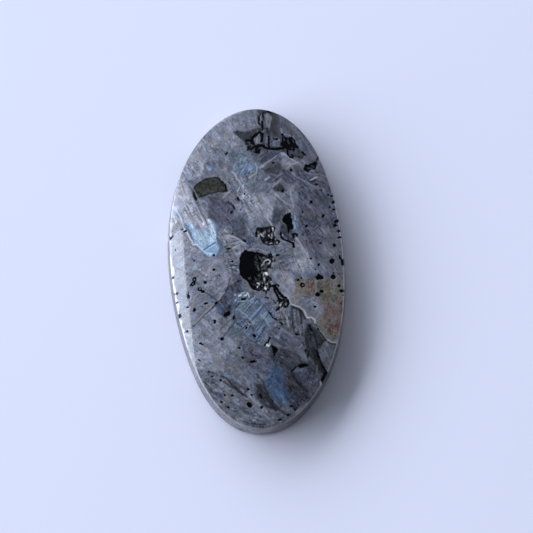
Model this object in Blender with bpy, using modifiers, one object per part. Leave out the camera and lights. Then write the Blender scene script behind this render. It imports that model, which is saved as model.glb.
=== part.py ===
"""A cabochon of larvikite: one oval slice of the rock, ground to a low dome and polished.

The stone lies on its flat back. The origin is in the middle of its box, on the surface it lies on;
+Y runs along the stone and +Z points up through the polished face.
"""

import math
import random

import bmesh
import bpy

MM = 0.001

# The oval at the ridge, where the polished face meets the wall. The stone was shaped by hand, so its
# oval is a little uneven: each entry is a multiple of the angle with its cosine and sine parts.
RIDGE_HALF_WIDTH = 9.43 * MM
RIDGE_HALF_LENGTH = 17.75 * MM
UNEVENNESS = ((3, -0.03 * MM, 0.14 * MM), (4, -0.08 * MM, -0.14 * MM))

# Heights, from the flat back up: bevelled foot, leaning wall, and a face that rises over a shoulder to a
# low dome. The shoulder is steepest on the left, where the hand that ground it leaned hardest.
FOOT_BEVEL = 0.35 * MM
RIDGE_HEIGHT = 3.2 * MM
FACE_RISE = 1.8 * MM
STEEP_SHOULDER = 0.8 * MM
GENTLE_SHOULDER = 0.2 * MM
STEEP_ANGLE = math.radians(190)
STEEP_SPREAD = math.radians(48)

WALL_FLARE = 0.3 * MM  # how far the foot of the wall stands outside the ridge
SHOULDER_WIDTH = 2.6 * MM
SHOULDER_CURVE = 2.0
EDGE_ROUNDING = 0.14 * MM
EDGE_ANGLE = math.radians(28)

# How finely the stone is faceted.
TURNS = 120
FACE_RINGS = 24
RIM_CROWDING = 1.5
WALL_RINGS = 3
ROUNDING_STEPS = 2
MERGE_DISTANCE = 0.001 * MM

# Soft mica that the polishing plucked out, leaving shallow rough pockets in the face:
# name, place, half length, half width, turn in degrees from +Y towards -X, depth.
POCKETS = (
    ("mica_pocket_middle", (0.85 * MM, -1.0 * MM), 1.95 * MM, 1.0 * MM, 8, 0.26 * MM),
    ("mica_pocket_low", (2.55 * MM, -4.4 * MM), 0.65 * MM, 0.4 * MM, 60, 0.18 * MM),
    ("mica_pocket_high", (1.2 * MM, 3.0 * MM), 1.15 * MM, 1.0 * MM, 60, 0.24 * MM),
)
POCKET_ROUGHNESS = 0.22
LUMP_FINENESS = 3

# A chip broken out of the ridge where a dark vein runs out of the stone.
CHIP_PLACE = (6.8 * MM, -12.8 * MM, 3.45 * MM)
CHIP_SIZE = (0.62 * MM, 1.0 * MM, 0.55 * MM)
CHIP_TURN = -28
CHIP_ROUGHNESS = 0.12

STONE_COLOUR = (0.16, 0.175, 0.21, 1.0)
STONE_ROUGHNESS = 0.12


def oval_point(angle, outwards=0.0):
    """A point of the ridge's oval before it is centred, or one that lies outwards from it."""
    across, along = math.cos(angle), math.sin(angle)
    normal_x, normal_y = across / RIDGE_HALF_WIDTH, along / RIDGE_HALF_LENGTH
    length = math.hypot(normal_x, normal_y)
    swell = sum(c * math.cos(n * angle) + s * math.sin(n * angle) for n, c, s in UNEVENNESS)
    step = (swell + outwards) / length
    return RIDGE_HALF_WIDTH * across + normal_x * step, RIDGE_HALF_LENGTH * along + normal_y * step


def box_middle():
    """The middle of the box round the wall's foot, which becomes the origin."""
    points = [oval_point(2 * math.pi * n / TURNS, WALL_FLARE) for n in range(TURNS)]
    return [(min(values) + max(values)) / 2 for values in zip(*points)]


def reach(angle):
    """How far the ridge's edge line lies from the middle of the oval, square to that line."""
    across, along = math.cos(angle), math.sin(angle)
    return 1 / math.hypot(across / RIDGE_HALF_WIDTH, along / RIDGE_HALF_LENGTH)


def shoulder_rise(angle):
    """How much of the face's rise the shoulder makes on that side; the dome makes the rest."""
    from_steepest = abs((angle - STEEP_ANGLE + math.pi) % (2 * math.pi) - math.pi)
    steepness = math.cos(math.pi / 2 * min(from_steepest / STEEP_SPREAD, 1)) ** 2
    return GENTLE_SHOULDER + (STEEP_SHOULDER - GENTLE_SHOULDER) * steepness


def face_height(share, angle):
    """The height of the polished face at a share of the way from the middle to the ridge."""
    inset = min((1 - share) * reach(angle) / SHOULDER_WIDTH, 1)
    shoulder = shoulder_rise(angle)
    dome = (FACE_RISE - shoulder) * (1 - share**2)
    return RIDGE_HEIGHT + shoulder * (1 - (1 - inset) ** SHOULDER_CURVE) + dome


def turned_blank():
    """A round blank turned from the stone's profile, which runs from the top down the outer side."""
    shares = [1 - (1 - n / FACE_RINGS) ** RIM_CROWDING for n in range(FACE_RINGS + 1)]
    profile = [(RIDGE_HALF_WIDTH * share, face_height(share, 0)) for share in shares]
    wall_drop = RIDGE_HEIGHT - FOOT_BEVEL
    for n in range(1, WALL_RINGS + 1):
        down = n / WALL_RINGS
        profile.append((RIDGE_HALF_WIDTH + WALL_FLARE * down, RIDGE_HEIGHT - wall_drop * down))
    profile.append((RIDGE_HALF_WIDTH + WALL_FLARE - FOOT_BEVEL, 0.0))
    profile.append((0.0, 0.0))

    mesh = bpy.data.meshes.new("profile")
    mesh.from_pydata([(x, 0, z) for x, z in profile], [(n, n + 1) for n in range(len(profile) - 1)], [])
    blank = bpy.data.objects.new("profile", mesh)
    bpy.context.scene.collection.objects.link(blank)
    screw = blank.modifiers.new("turn", "SCREW")
    screw.steps = TURNS
    screw.render_steps = TURNS
    screw.use_merge_vertices = True
    screw.merge_threshold = MERGE_DISTANCE
    graph = bpy.context.evaluated_depsgraph_get()
    turned = bpy.data.meshes.new_from_object(blank.evaluated_get(graph))
    bpy.data.objects.remove(blank)
    return turned


def press_to_oval(mesh):
    """Moves each vertex of the round blank to its place on the oval stone."""
    middle_x, middle_y = box_middle()
    for vertex in mesh.vertices:
        radius = math.hypot(vertex.co.x, vertex.co.y)
        angle = math.atan2(vertex.co.y, vertex.co.x)
        share = radius / RIDGE_HALF_WIDTH
        if vertex.co.z > RIDGE_HEIGHT:
            x, y = oval_point(angle)
            x, y = x * share, y * share
            vertex.co.z = face_height(min(share, 1), angle)
        elif radius > MERGE_DISTANCE:
            x, y = oval_point(angle, radius - RIDGE_HALF_WIDTH)
        else:
            x, y = 0, 0
        vertex.co.x, vertex.co.y = x - middle_x, y - middle_y


def height_at(x, y):
    """The height of the polished face over a place on the stone."""
    middle_x, middle_y = box_middle()
    x, y = x + middle_x, y + middle_y
    angle = math.atan2(y / RIDGE_HALF_LENGTH, x / RIDGE_HALF_WIDTH)
    edge_x, edge_y = oval_point(angle)
    return face_height(min(math.hypot(x, y) / math.hypot(edge_x, edge_y), 1), angle)


def rough_lump(name, place, size, turn, roughness, seed, collection):
    """A cutter: a lump with broken facets, whose lower half leaves a rough hollow."""
    draw = random.Random(seed)
    lump = bmesh.new()
    bmesh.ops.create_icosphere(lump, subdivisions=LUMP_FINENESS, radius=1)
    for vertex in lump.verts:
        vertex.co *= 1 + draw.uniform(-roughness, roughness)
    mesh = bpy.data.meshes.new(name)
    lump.to_mesh(mesh)
    lump.free()
    cutter = bpy.data.objects.new(name, mesh)
    cutter.location = place
    cutter.rotation_euler.z = math.radians(turn)
    cutter.scale = size
    cutter.hide_render = True
    cutter.display_type = "WIRE"
    collection.objects.link(cutter)
    return cutter


def cut(stone, cutter):
    """Takes the cutter's shape out of the stone."""
    modifier = stone.modifiers.new(cutter.name, "BOOLEAN")
    modifier.operation = "DIFFERENCE"
    modifier.object = cutter


def polished_larvikite():
    """Blue-grey feldspar rock with a high polish."""
    material = bpy.data.materials.new("polished_larvikite")
    material.use_nodes = True
    shader = material.node_tree.nodes["Principled BSDF"]
    shader.inputs["Base Color"].default_value = STONE_COLOUR
    shader.inputs["Roughness"].default_value = STONE_ROUGHNESS
    shader.inputs["Metallic"].default_value = 0.0
    return material


def build():
    for leftover in list(bpy.data.objects):
        bpy.data.objects.remove(leftover)
    parts = bpy.data.collections.new("larvikite_cabochon")
    cutters = bpy.data.collections.new("cutters")
    for collection in (parts, cutters):
        bpy.context.scene.collection.children.link(collection)

    mesh = turned_blank()
    press_to_oval(mesh)
    mesh.name = "cabochon"
    stone = bpy.data.objects.new("cabochon", mesh)
    parts.objects.link(stone)
    stone.data.materials.clear()
    stone.data.materials.append(polished_larvikite())

    rounding = stone.modifiers.new("edge_rounding", "BEVEL")
    rounding.width = EDGE_ROUNDING
    rounding.segments = ROUNDING_STEPS
    rounding.limit_method = "ANGLE"
    rounding.angle_limit = EDGE_ANGLE

    for seed, (name, (x, y), half_length, half_width, turn, depth) in enumerate(POCKETS):
        size = (half_width, half_length, depth)
        lump = rough_lump(name, (x, y, height_at(x, y)), size, turn, POCKET_ROUGHNESS, seed, cutters)
        cut(stone, lump)
    chip = rough_lump("ridge_chip", CHIP_PLACE, CHIP_SIZE, CHIP_TURN, CHIP_ROUGHNESS, len(POCKETS), cutters)
    cut(stone, chip)

    mesh.shade_smooth()
    mesh.set_sharp_from_angle(angle=EDGE_ANGLE)


build()
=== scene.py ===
"""A polished oval cabochon of larvikite, lying on its flat back on pale paper."""

import math

import bpy
import numpy as np
from mathutils import Matrix, Vector


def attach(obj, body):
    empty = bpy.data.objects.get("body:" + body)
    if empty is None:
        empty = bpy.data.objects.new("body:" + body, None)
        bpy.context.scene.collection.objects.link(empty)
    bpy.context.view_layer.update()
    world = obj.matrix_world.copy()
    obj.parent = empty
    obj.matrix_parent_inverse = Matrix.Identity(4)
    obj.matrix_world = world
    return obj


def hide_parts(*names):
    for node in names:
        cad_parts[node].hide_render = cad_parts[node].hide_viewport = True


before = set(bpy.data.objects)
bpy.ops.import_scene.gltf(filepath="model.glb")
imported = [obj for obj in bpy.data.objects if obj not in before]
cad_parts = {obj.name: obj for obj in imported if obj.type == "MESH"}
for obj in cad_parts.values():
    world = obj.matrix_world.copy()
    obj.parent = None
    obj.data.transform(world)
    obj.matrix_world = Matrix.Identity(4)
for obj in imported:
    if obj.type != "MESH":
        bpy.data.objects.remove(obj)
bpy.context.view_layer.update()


# The shape of the stone
# One piece of larvikite, a coarse feldspar rock. It was sawn, ground by hand to a slightly uneven oval
# with a low dome, a steep shoulder and a leaning wall, and polished. All of it is in millimetres here,
# from the middle of the flat back.

RIDGE_HALF_WIDTH = 9.43
RIDGE_HALF_LENGTH = 17.75
UNEVENNESS = ((3, -0.03, 0.14), (4, -0.08, -0.14))

FOOT_BEVEL = 0.35
RIDGE_HEIGHT = 3.2
FACE_RISE = 1.8  # from the ridge to the top of the dome
STEEP_SHOULDER, GENTLE_SHOULDER = 0.8, 0.2  # how much of that rise the shoulder makes, at most and least
STEEP_ANGLE, STEEP_SPREAD = math.radians(190), math.radians(48)
WALL_FLARE = 0.3
SHOULDER_WIDTH = 2.6
SHOULDER_CURVE = 2.0
EDGE_ROUNDING = 0.14
OUTLINE_STEPS = 120

COLUMNS, ROWS = 170, 320  # cells across and along the face, about 0.11 mm each
ROUNDING_STEPS = 5
WALL_STEPS = 22
FOOT_STEPS = 2
BACK_COARSENESS = 2
BACK_INSET = 0.985


def oval_point(angle, outwards=0.0):
    """Points of the ridge's oval before it is centred, or ones that lie outwards from it."""
    across, along = np.cos(angle), np.sin(angle)
    normal_x, normal_y = across / RIDGE_HALF_WIDTH, along / RIDGE_HALF_LENGTH
    length = np.hypot(normal_x, normal_y)
    swell = sum(c * np.cos(n * angle) + s * np.sin(n * angle) for n, c, s in UNEVENNESS)
    step = (swell + outwards) / length
    return RIDGE_HALF_WIDTH * across + normal_x * step, RIDGE_HALF_LENGTH * along + normal_y * step


def reach(angle):
    """How far the ridge's edge line lies from the middle of the oval, square to that line."""
    return 1 / np.hypot(np.cos(angle) / RIDGE_HALF_WIDTH, np.sin(angle) / RIDGE_HALF_LENGTH)


def steepness(angle):
    """1 where the shoulder is steepest, because the hand that ground it leaned on that side, and 0 away."""
    from_steepest = np.abs((angle - STEEP_ANGLE + math.pi) % (2 * math.pi) - math.pi)
    return np.cos(math.pi / 2 * np.minimum(from_steepest / STEEP_SPREAD, 1)) ** 2


def face_height(share, angle):
    """The height of the polished face at a share of the way from the middle to the ridge."""
    inset = np.minimum((1 - share) * reach(angle) / SHOULDER_WIDTH, 1)
    rise = GENTLE_SHOULDER + (STEEP_SHOULDER - GENTLE_SHOULDER) * steepness(angle)
    return RIDGE_HEIGHT + rise * (1 - (1 - inset) ** SHOULDER_CURVE) + (FACE_RISE - rise) * (1 - share**2)


def oval_middle():
    """The middle of the box round the wall's foot, which is the stone's origin."""
    angles = np.arange(OUTLINE_STEPS) * 2 * math.pi / OUTLINE_STEPS
    return np.array([(line.min() + line.max()) / 2 for line in oval_point(angles, WALL_FLARE)])


def disk_grid(columns, rows):
    """The share and angle of each point of a square grid pressed round into a disk, row by row."""
    a, b = np.meshgrid(np.linspace(-1, 1, columns + 1), np.linspace(-1, 1, rows + 1))
    wide = np.abs(a) > np.abs(b)
    share = np.where(wide, a, b)
    across = np.divide(b, a, out=np.zeros_like(a), where=wide)
    along = np.divide(a, b, out=np.zeros_like(a), where=~wide & (b != 0))
    angle = np.where(wide, math.pi / 4 * across, math.pi / 2 - math.pi / 4 * along)
    angle = np.where(share < 0, angle + math.pi, angle)
    return np.abs(share).ravel(), angle.ravel()


def grid_faces(columns, rows):
    """The grid's cells as faces that turn anticlockwise."""
    low = (np.arange(rows)[:, None] * (columns + 1) + np.arange(columns)).ravel()
    return np.stack([low, low + 1, low + columns + 2, low + columns + 1], axis=1)


def grid_rim(columns, rows):
    """The points round the grid's edge, anticlockwise from its first corner."""
    bottom = np.arange(columns)
    right = columns + np.arange(rows) * (columns + 1)
    top = rows * (columns + 1) + np.arange(columns, 0, -1)
    left = np.arange(rows, 0, -1) * (columns + 1)
    return np.concatenate([bottom, right, top, left])


def rounded(start, corner, end, steps):
    """Rows of points that round a corner off, without the first."""
    shares = [n / steps for n in range(1, steps + 1)]
    return [(1 - t) ** 2 * start + 2 * t * (1 - t) * corner + t**2 * end for t in shares]


def wall_rows(rim_points, rim_angles):
    """Rows of points from the face's rim round the ridge, down the wall and round the foot."""
    def row(outwards, height):
        x, y = oval_point(rim_angles, outwards)
        return np.stack([x, y, np.full_like(x, height)], axis=1)

    wall_drop = RIDGE_HEIGHT - FOOT_BEVEL
    start = EDGE_ROUNDING / wall_drop
    rows = rounded(rim_points, row(0, RIDGE_HEIGHT), row(WALL_FLARE * start, RIDGE_HEIGHT - EDGE_ROUNDING),
                   ROUNDING_STEPS)
    for n in range(1, WALL_STEPS + 1):
        down = start + (1 - 2 * start) * n / WALL_STEPS
        rows.append(row(WALL_FLARE * down, RIDGE_HEIGHT - wall_drop * down))
    foot_low = row(WALL_FLARE - FOOT_BEVEL + EDGE_ROUNDING, EDGE_ROUNDING)
    rows += rounded(rows[-1], row(WALL_FLARE, FOOT_BEVEL), foot_low, FOOT_STEPS)
    rows += rounded(foot_low, row(WALL_FLARE - FOOT_BEVEL, 0), row(WALL_FLARE - FOOT_BEVEL - EDGE_ROUNDING, 0),
                    FOOT_STEPS)
    return rows


face_share, face_angle = disk_grid(COLUMNS, ROWS)
face_share = face_share * (1 - EDGE_ROUNDING / reach(face_angle))
face_x, face_y = oval_point(face_angle)
face_points = np.stack([face_x * face_share, face_y * face_share, face_height(face_share, face_angle)], axis=1)
rim = grid_rim(COLUMNS, ROWS)
side_rows = wall_rows(face_points[rim], face_angle[rim])

back_columns, back_rows = COLUMNS // BACK_COARSENESS, ROWS // BACK_COARSENESS
back_share, back_angle = disk_grid(back_columns, back_rows)
back_x, back_y = oval_point(back_angle, WALL_FLARE - FOOT_BEVEL - EDGE_ROUNDING)
back_points = np.stack([back_x, back_y, np.zeros_like(back_x)], axis=1) * (back_share * BACK_INSET)[:, None]

points = np.concatenate([face_points, *side_rows, back_points])
points[:, :2] -= oval_middle()

rim_count, face_count = len(rim), len(face_points)
loops = [rim] + [face_count + n * rim_count + np.arange(rim_count) for n in range(len(side_rows))]
back_start = face_count + len(side_rows) * rim_count
back_rim = back_start + grid_rim(back_columns, back_rows)
faces = grid_faces(COLUMNS, ROWS).tolist()
for upper, lower in zip(loops, loops[1:]):
    faces += np.stack([lower, np.roll(lower, -1), np.roll(upper, -1), upper], axis=1).tolist()
for n, inner in enumerate(back_rim):
    outer = [loops[-1][(BACK_COARSENESS * n + k) % rim_count] for k in range(BACK_COARSENESS + 1)]
    faces.append([int(inner), int(back_rim[(n + 1) % len(back_rim)]), *[int(p) for p in reversed(outer)]])
faces += (grid_faces(back_columns, back_rows)[:, ::-1] + back_start).tolist()


# What grew in the stone
# The feldspar is a patchwork of crystals, pale, blue-grey and dark, each with its own fine twin streaks;
# some flash blue. Between them lie black hornblende and mica, an olive grain, rusty stains and a healed
# crack. Every place is in millimetres from the stone's middle, read off the photograph.

SEED = 11
SLANT = (0.32, -0.24)  # how far the marks wander sideways for each millimetre down into the stone
WANDERING = 0.6
MARGIN = 0.985
FOLD_DEPTH = 2.25
READING_SHIFT = (0.03, 0.18)  # the marks were read as if the face were flatter; they lie this far off at the rim


def waver(place, cell, seed):
    """Smooth random values from -1 to 1 whose bumps are about one cell apart."""
    table = np.random.default_rng(seed).uniform(-1, 1, (64, 64))
    scaled = place / cell
    corner = np.floor(scaled).astype(int)
    share = scaled - corner
    share = share * share * (3 - 2 * share)
    i, j = corner[:, 0] % 64, corner[:, 1] % 64
    i_next, j_next = (i + 1) % 64, (j + 1) % 64
    low = table[i, j] * (1 - share[:, 0]) + table[i_next, j] * share[:, 0]
    high = table[i, j_next] * (1 - share[:, 0]) + table[i_next, j_next] * share[:, 0]
    return low * (1 - share[:, 1]) + high * share[:, 1]


def wavered(place, size, cell, seed):
    """The places moved about by a random amount."""
    return place + size * np.stack([waver(place, cell, seed), waver(place, cell, seed + 1)], axis=1)


def from_line(place, line, half_widths):
    """Millimetres outside a streak that runs through the points, with a half width at each."""
    nearest = np.full(len(place), np.inf)
    widths = np.broadcast_to(half_widths, len(line))
    for start, end, wide, wide_end in zip(line, line[1:], widths, widths[1:]):
        start, run = np.array(start), np.subtract(end, start)
        share = np.clip((place - start) @ run / (run @ run), 0, 1)
        distance = np.hypot(*(place - start - share[:, None] * run).T) - wide - (wide_end - wide) * share
        nearest = np.minimum(nearest, distance)
    return nearest


def from_outline(place, outline):
    """Millimetres outside a closed outline, and less than nothing inside it."""
    distance = from_line(place, (*outline, outline[0]), 0.0)
    inside = np.zeros(len(place), bool)
    for (x, y), (x_next, y_next) in zip(outline, (*outline[1:], outline[0])):
        spans = (place[:, 1] < y) != (place[:, 1] < y_next)
        crossing = x + (place[:, 1] - y) * (x_next - x) / (y_next - y) if y_next != y else x
        inside ^= spans & (place[:, 0] < crossing)
    return np.where(inside, -distance, distance)


def from_grain(place, x, y, half_length, half_width, turn):
    """About how many millimetres outside an oval grain, which is turned in degrees from +X."""
    cos, sin = math.cos(math.radians(turn)), math.sin(math.radians(turn))
    across, along = place[:, 0] - x, place[:, 1] - y
    u = (across * cos + along * sin) / half_length
    v = (along * cos - across * sin) / half_width
    return (np.hypot(u, v) - 1) * min(half_length, half_width)


def soft(distance, width):
    """1 well inside a mark, 0 well outside it, with an edge of that width."""
    share = np.clip(0.5 - distance / width, 0, 1)
    return share * share * (3 - 2 * share)


def linear(colour):
    """A colour such as "6f6f7b" as linear red, green and blue."""
    values = np.array([int(colour[n:n + 2], 16) / 255 for n in (0, 2, 4)])
    return np.where(values <= 0.04045, values / 12.92, ((values + 0.055) / 1.055) ** 2.4)


# Tones of the feldspar, from the palest crystals to the darkest, and of what flashes or is stained. The blue
# flash of FLASH, BRIGHT_FLASH and DEEP_BLUE is a painted sheen.
CLOUD, PALE, ASH, GREY, SLATE = "9c9ba3", "82828a", "74757d", "66676f", "52525d"
STEEL, SHADE, DUSK, SOOT = "474954", "3d3d44", "35353a", "28282b"
HAZE, SEA, FLASH, BRIGHT_FLASH, DEEP_BLUE = "616c7b", "5c676f", "9bafbf", "8daac5", "3e4f65"
WARM, BARK, MOSS, RUST = "746d65", "645348", "645f52", "726259"

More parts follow.
